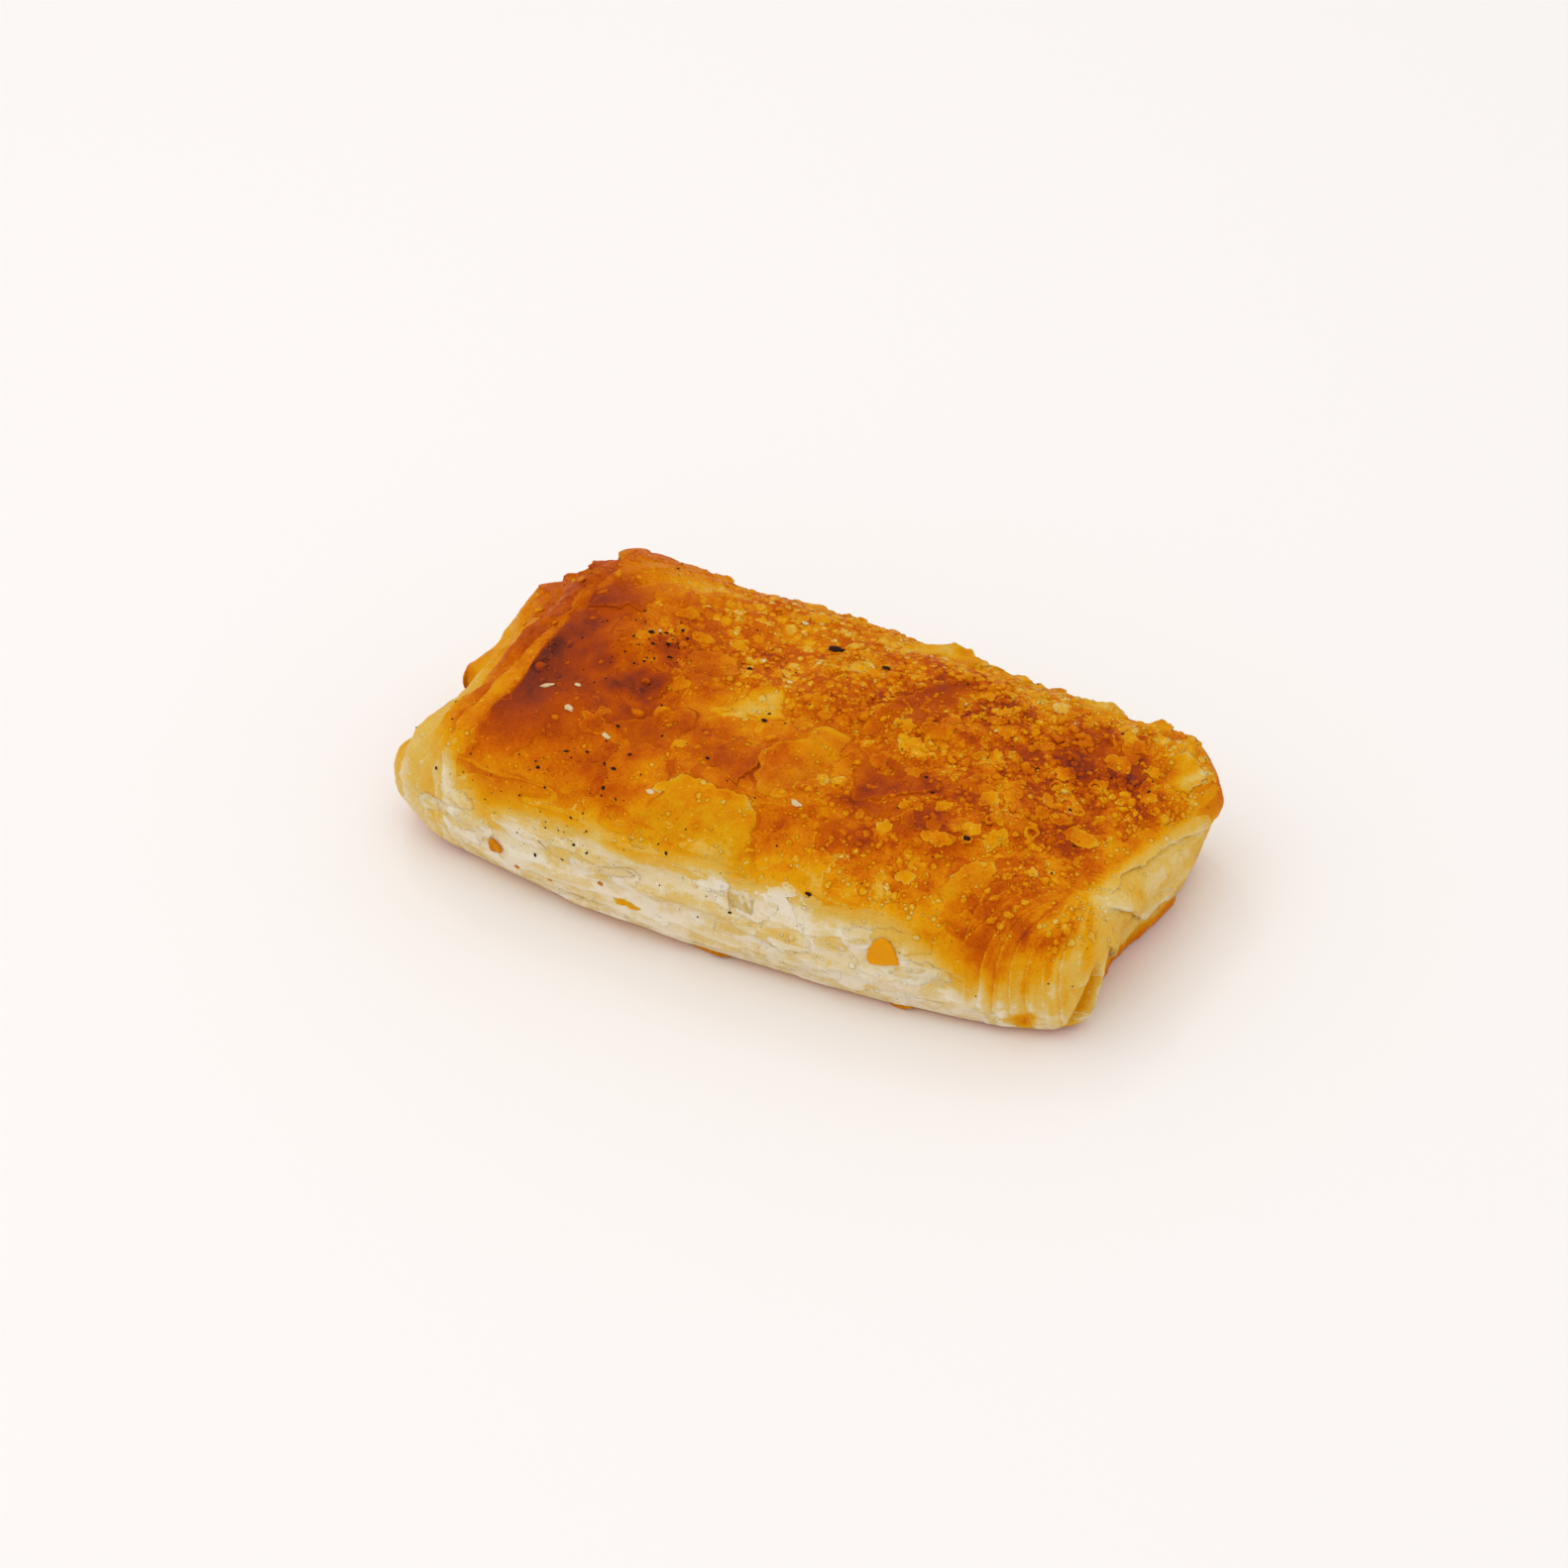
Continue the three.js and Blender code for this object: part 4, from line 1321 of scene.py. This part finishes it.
    gloss = add("MapRange", EASED, mottle, 0.35, 0.65, roughness - 0.18, roughness + 0.15)
    tree.links.new(tone, shader.inputs["Base Color"])
    tree.links.new(gloss, shader.inputs["Roughness"])
    tree.links.new(
        add("Bump", {}, Strength=bump, Distance=0.45 * MM, Height=height), shader.inputs["Normal"]
    )
    shader.inputs["IOR"].default_value = 1.45
    shader.inputs["Specular IOR Level"].default_value = 0.03
    shader.inputs["Subsurface Weight"].default_value = 0.12
    shader.inputs["Subsurface Radius"].default_value = (1.0, 0.5, 0.22)
    shader.inputs["Subsurface Scale"].default_value = 0.6 * MM
    return material


def plain_material(name, tone, shade, size, roughness):
    """A dry grain or chip: matt, with its colour broken up by a grain of the given size in millimetres."""
    material = bpy.data.materials.new(name)
    material.use_nodes = True
    tree = material.node_tree
    shader = tree.nodes["Principled BSDF"]
    add = partial(add_node, tree)
    place = add("TexCoord", {}).node.outputs["Object"]
    mottle = add("TexNoise", {}, Vector=place, Scale=1 / (size * MM), Detail=3.0)
    mix = add("Mix", {"data_type": "RGBA"}, Factor=mottle, A=tone, B=shade)
    tree.links.new(mix.node.outputs["Result"], shader.inputs["Base Color"])
    tree.links.new(
        add("Bump", {}, Strength=0.4, Distance=0.2 * MM, Height=mottle), shader.inputs["Normal"]
    )
    shader.inputs["Roughness"].default_value = roughness
    shader.inputs["Specular IOR Level"].default_value = 0.05
    return material


class BOREK_OT_crust(bpy.types.Operator):
    """Lays the browned, blistered and layered crust over the solid"""

    bl_idname = "borek.crust"
    bl_label = "Crust"

    def execute(self, context):
        shape = context.scene.borek_shape
        points, faces, normals = even_copy(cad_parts[NODE], shape.cell, shape.smoothing)
        level = layers(points, normals)
        pebbled = blistering(points, normals)
        bubble, pale, rim = bubbled(points, pebbled)
        finished = points + normals * relief(points, normals, level, bubble, shape)[:, None]
        baked = browning(points, normals)
        side = sides(points, normals)
        part = level - np.floor(level)
        # fold edges of the left end and the pleats are paler and their creases darker, partly baking and
        # partly painted highlight and painted shade
        groove = smooth(0.7, 1.0, part) - smooth(0.12, 0.0, part)
        crease_bake_and_shade = 0.1 * (0.5 * side.left + 0.6 * side.corner) * groove * smooth(0.08, 0.4, baked)
        # bubble tops are paler, and painted shade darkens the ring round each foot
        bubble_tops_and_shade = smooth(0.25, 0.5, baked) * (0.07 * rim - 0.16 * pale)
        for hollow in HOLLOWS:
            away = np.linalg.norm(points - (hollow.x, hollow.y, hollow.z), axis=1)
            finished -= normals * (hollow.depth * bell(away, hollow.reach))[:, None]
        dent = smooth(1.05, 0.35, pocket_reach(points)) * smooth(*POCKET_FROM, points[:, 0])
        finished[:, 0] -= POCKET_DEPTH * dent
        finished[:, 2] = finished[:, 2].clip(0)
        values = {
            "browning": baked + crease_bake_and_shade + bubble_tops_and_shade,
            "layer": level,
            "opening": openings(points, normals),
            "pebbled": pebbled,
            "cobbled": cobbling(points, normals),
            "form_normal": normals,
        }
        material = dough_material(DOUGH, context.scene.borek_colours, roughness=0.45, bump=0.9)
        piece = built(CRUST, finished, faces, values, material)
        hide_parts(NODE)
        crust_surface.cache_clear()
        return {"FINISHED"}


class BOREK_OT_sheets(bpy.types.Operator):
    """Lays the torn sheets on the top, the front and the right end"""

    bl_idname = "borek.sheets"
    bl_label = "Torn sheets"

    def execute(self, context):
        surface = crust_surface()
        batch = Batch()
        for seed, sheet in enumerate(TRACED):
            raised = sheet.face == "top" and sheet.lift > 0
            base = TRACED_BASE[sheet.face]
            ragged = TRACED_RAGGED[sheet.face]
            points, normals, faces, rim, loose = traced_sheet(
                surface, sheet.face, sheet.corners, sheet.free, sheet.lift, seed, ragged, base
            )
            shown = smooth(-0.7, 0.5, loose) if sheet.lift else 1 - 0.7 * rim**9
            # the free edge of a raised sheet is paler, partly its thin dough and partly painted highlight
            pale_and_lit_rim = PALE_AND_LIT_RIM * rim**14 * smooth(-0.2, 0.5, loose) * raised
            batch.add(points, normals, faces, sheet.tint * shown - pale_and_lit_rim)
            # under each raised sheet lies a sheet of painted shadow, darkest past its free edge
            if raised:
                middle = np.mean(sheet.corners, 0)
                shadow_corners = middle + (np.array(sheet.corners) - middle) * SHADOW_SHEET_SCALE
                points, normals, faces, rim, loose = traced_sheet(
                    surface, sheet.face, shadow_corners, sheet.free, 0.0, seed, ragged, SHADOW_SHEET_BASE
                )
                batch.add(points, normals, faces, PAINTED_GAP_SHADOW * smooth(-0.2, 0.6, loose) * (1 - rim**12))
        for seed, sheet in enumerate(HANGING):
            points, normals, faces, rim = hanging_sheet(surface, sheet, seed)
            # each hanging sheet is paler along its lower edge, partly its thin dough and partly painted
            # highlight
            batch.add(points, normals, faces, sheet.tint * smooth(0, 0.5, rim) - 0.04 * rim**12)
        batch.build("sheets", bpy.data.materials[DOUGH])
        return {"FINISHED"}


class BOREK_OT_flakes(bpy.types.Operator):
    """Lays the pale scraps on the top and the torn flakes along the sides"""

    bl_idname = "borek.flakes"
    bl_label = "Flakes"

    def execute(self, context):
        shape = context.scene.borek_shape
        surface = crust_surface()
        rng = np.random.default_rng(FLAKES_SEED)
        batch = Batch()

        x, _, z = surface.centres.T
        _, sideways, upward = np.abs(surface.slopes.T)
        low_side = smooth(3, 6, z) * smooth(27, 22, z) * smooth(56, 48, x)
        low_side = low_side * smooth(0.6, 0.2, upward) * smooth(0.3, 0.7, sideways)
        for seed, centre in enumerate(surface.scatter(rng, shape.flakes, low_side)):
            long = rng.uniform(3, 16)
            wide = rng.uniform(1.5, 4) + 0.1 * long
            free = rng.choice([-90, 90]) + rng.uniform(-50, 50)
            points, normals, faces, rim, _ = torn_sheet(
                surface,
                centre,
                np.array([1, 0, rng.uniform(-0.2, 0.2)]),
                (long, wide),
                free,
                rng.uniform(0.1, 0.4),
                SIDE_EDGES + seed,
            )
            batch.add(points, normals, faces, rng.uniform(-0.08, 0.06) - 0.03 * rim**8)
        for seed, flat in enumerate(FLATS):
            turn = math.radians(flat.turn)
            points, normals, faces, rim, _ = torn_sheet(
                surface,
                surface.cast("top", flat.x, flat.y),
                np.array([math.cos(turn), math.sin(turn), 0]),
                (flat.long, flat.wide),
                90,
                flat.lift,
                FLAT_EDGES + seed,
                cells=16,
                ragged=0.36,
                root=0.05,
            )
            batch.add(points, normals, faces, flat.tint - SCRAP_RIM * rim**8)
        for seed, centre in enumerate(surface.scatter(rng, shape.scraps, surface.bubbly)):
            size = rng.uniform(1.4, 4.6) * np.array([1, rng.uniform(0.5, 0.9)])
            points, normals, faces, rim, _ = torn_sheet(
                surface,
                centre,
                rng.normal(size=3),
                size,
                rng.uniform(0, 360),
                0.15,
                SCRAP_EDGES + seed,
                cells=14,
                ragged=0.45,
                root=0.05,
            )
            batch.add(points, normals, faces, rng.uniform(-0.2, -0.08) - SCRAP_RIM * rim**8)
        batch.build("flakes", bpy.data.materials[DOUGH], 1.0)
        return {"FINISHED"}


class BOREK_OT_blisters(bpy.types.Operator):
    """Raises the bubbles on the top"""

    bl_idname = "borek.blisters"
    bl_label = "Blisters"

    def execute(self, context):
        shape = context.scene.borek_shape
        surface = crust_surface()
        rng = np.random.default_rng(BLISTERS_SEED)
        batch = Batch()

        for centre in surface.scatter(rng, shape.blisters, surface.bubbly):
            radius = 0.3 + min(rng.exponential(0.26), 1.2)
            height = radius * rng.uniform(0.35, 0.6)
            points, normals, faces, rim = dome(surface, centre, radius, height, rng)
            # each bubble is paler over its top, and painted shade darkens its foot
            batch.add(points, normals, faces, rng.uniform(-0.26, -0.1) * (1 - rim**6) + 0.04 * rim**6)
        for x, y, radius in RINGS:
            batch.add(*broken_dome(surface, surface.cast("top", x, y), radius, rng), RING_TINT)
        batch.build("blisters", bpy.data.materials[DOUGH])
        return {"FINISHED"}


class BOREK_OT_crumbs(bpy.types.Operator):
    """Strews the pepper, char specks and crumbs that stick to the crust"""

    bl_idname = "borek.crumbs"
    bl_label = "Crumbs"

    def execute(self, context):
        shape = context.scene.borek_shape
        colours = context.scene.borek_colours
        surface = crust_surface()
        rng = np.random.default_rng(CRUMBS_SEED)

        x, y, z = surface.centres.T
        upward = surface.slopes[:, 2]
        peppered = 0.25 + 1.4 * bell(np.hypot(x + 33, y + 34), 17) + 9 * bell(np.hypot(x + 34, y - 2), 6)
        peppered = peppered * smooth(-0.3, 0.3, upward) * smooth(4, 10, z)
        level = smooth(0.5, 0.9, upward)

        # material, its two tones, the size of its grain in millimetres, and roughness
        looks = {
            "char": ("cracked pepper", colours.char, linear("3A2418"), 0.4, 0.7),
            "salt": ("dry crumb", colours.cream, linear("C9AE86"), 0.5, 0.75),
            "nut": ("toasted crumb", colours.yellow, colours.brown, 1.2, 0.5),
        }

        # how many are strewn by chance, how thick on each face, their least radius and its spread
        strewn = {
            "char": (shape.specks, peppered, 0.13, 0.2),
            "salt": (shape.crumbs, level, 0.2, 0.3),
            "nut": (0, level, 0, 0),
        }
        for kind, look in looks.items():
            batch = Batch()
            count, density, least, spread = strewn[kind]
            places, normals = surface.at(surface.scatter(rng, count, density)) if count else ((), ())
            for place, normal in zip(places, normals):
                radius = least + min(rng.exponential(spread / 2), spread * 2)
                radii = radius * np.array([1, rng.uniform(0.5, 0.9), rng.uniform(0.35, 0.6)])
                batch.add(*grain(place, normal, rng.normal(size=3), radii, rng), 0.0)
            for bit in BITS[kind]:
                place, normal = surface.under(surface.cast(bit.face, bit.a, bit.b))
                radii = np.array([bit.long, bit.wide, bit.high]) / 2
                way = np.array(FACES[bit.face].along, float) + rng.uniform(-0.3, 0.3, 3)
                batch.add(*grain(place, normal, way, radii, rng, detail=3, rough=0.55), 0.0)
            batch.build(kind, plain_material(*look))
        chip = Batch()
        shell = traced_sheet(surface, "front", CHIP, 90, 0.2, CHIP_EDGE, ragged=0.03, base=0.5)
        chip.add(*shell[:3], 0.0)
        chip.build("chip", plain_material("browned chip", colours.amber, colours.yellow, 1.5, 0.5))
        return {"FINISHED"}


class BOREK_OT_stage(bpy.types.Operator):
    """Sets out the floor, the soft light and the camera"""

    bl_idname = "borek.stage"
    bl_label = "Stage"

    def execute(self, context):
        scene = context.scene
        stage = scene.borek_stage
        scene.view_settings.view_transform = "Standard"

        half = stage.floor_size / 2
        corners = [(-half, -half, 0), (half, -half, 0), (half, half, 0), (-half, half, 0)]
        mesh = bpy.data.meshes.new("floor")
        mesh.from_pydata(corners, [], [(0, 1, 2, 3)])
        floor = bpy.data.objects.new("floor", mesh)
        matt = bpy.data.materials.new("matt studio floor")
        matt.use_nodes = True
        shader = matt.node_tree.nodes["Principled BSDF"]
        shader.inputs["Base Color"].default_value = stage.floor
        shader.inputs["Roughness"].default_value = 0.6
        mesh.materials.append(matt)
        scene.collection.objects.link(floor)

        world = bpy.data.worlds.new("even light")
        world.use_nodes = True
        sky = world.node_tree.nodes["Background"]
        sky.inputs["Color"].default_value = (1, 1, 1, 1)
        sky.inputs["Strength"].default_value = stage.sky
        scene.world = world

        # lamps turned to the part: name, power, width and place in metres
        for name, power, size, place in (
            ("key", stage.key, stage.key_size, (-0.2, -0.35, 1.0)),
            ("glint", stage.glint, stage.glint_size, (-0.5, 0.5, 0.9)),
        ):
            lamp = bpy.data.lights.new(name, "AREA")
            lamp.energy = power
            lamp.size = size
            light = bpy.data.objects.new(name, lamp)
            light.location = place
            light.rotation_euler = (-light.location).to_track_quat("-Z", "Y").to_euler()
            scene.collection.objects.link(light)

        lens = bpy.data.cameras.new("camera")
        lens.lens = stage.lens
        lens.sensor_width = 36
        camera = bpy.data.objects.new("camera", lens)
        turn = (
            Matrix.Rotation(math.radians(stage.azimuth), 4, "Z")
            @ Matrix.Rotation(math.radians(90 - stage.elevation), 4, "X")
            @ Matrix.Rotation(math.radians(stage.roll), 4, "Z")
        )
        back = Matrix.Translation((0, 0, stage.distance))
        camera.matrix_world = Matrix.Translation(Vector(stage.aim)) @ turn @ back
        scene.collection.objects.link(camera)
        scene.camera = camera
        return {"FINISHED"}


class BOREK_PT_panel(bpy.types.Panel):
    """Lists the steps that make the borek"""

    bl_idname = "BOREK_PT_panel"
    bl_label = "Potato Borek"
    bl_space_type = "VIEW_3D"
    bl_region_type = "UI"
    bl_category = "Borek"

    def draw(self, context):
        for step in STEPS:
            self.layout.operator(step.bl_idname)


STEPS = (
    BOREK_OT_crust,
    BOREK_OT_sheets,
    BOREK_OT_flakes,
    BOREK_OT_blisters,
    BOREK_OT_crumbs,
    BOREK_OT_stage,
)
GROUPS = {"borek_shape": BorekShape, "borek_colours": BorekColours, "borek_stage": BorekStage}


def register():
    for group in (*GROUPS.values(), *STEPS, BOREK_PT_panel):
        bpy.utils.register_class(group)
    for name, group in GROUPS.items():
        setattr(bpy.types.Scene, name, PointerProperty(type=group))


def unregister():
    for name in GROUPS:
        delattr(bpy.types.Scene, name)
    for group in reversed((*GROUPS.values(), *STEPS, BOREK_PT_panel)):
        bpy.utils.unregister_class(group)


def main():
    register()
    bpy.ops.borek.crust()
    bpy.ops.borek.sheets()
    bpy.ops.borek.flakes()
    bpy.ops.borek.blisters()
    bpy.ops.borek.crumbs()
    bpy.ops.borek.stage()


if __name__ == "__main__":
    main()
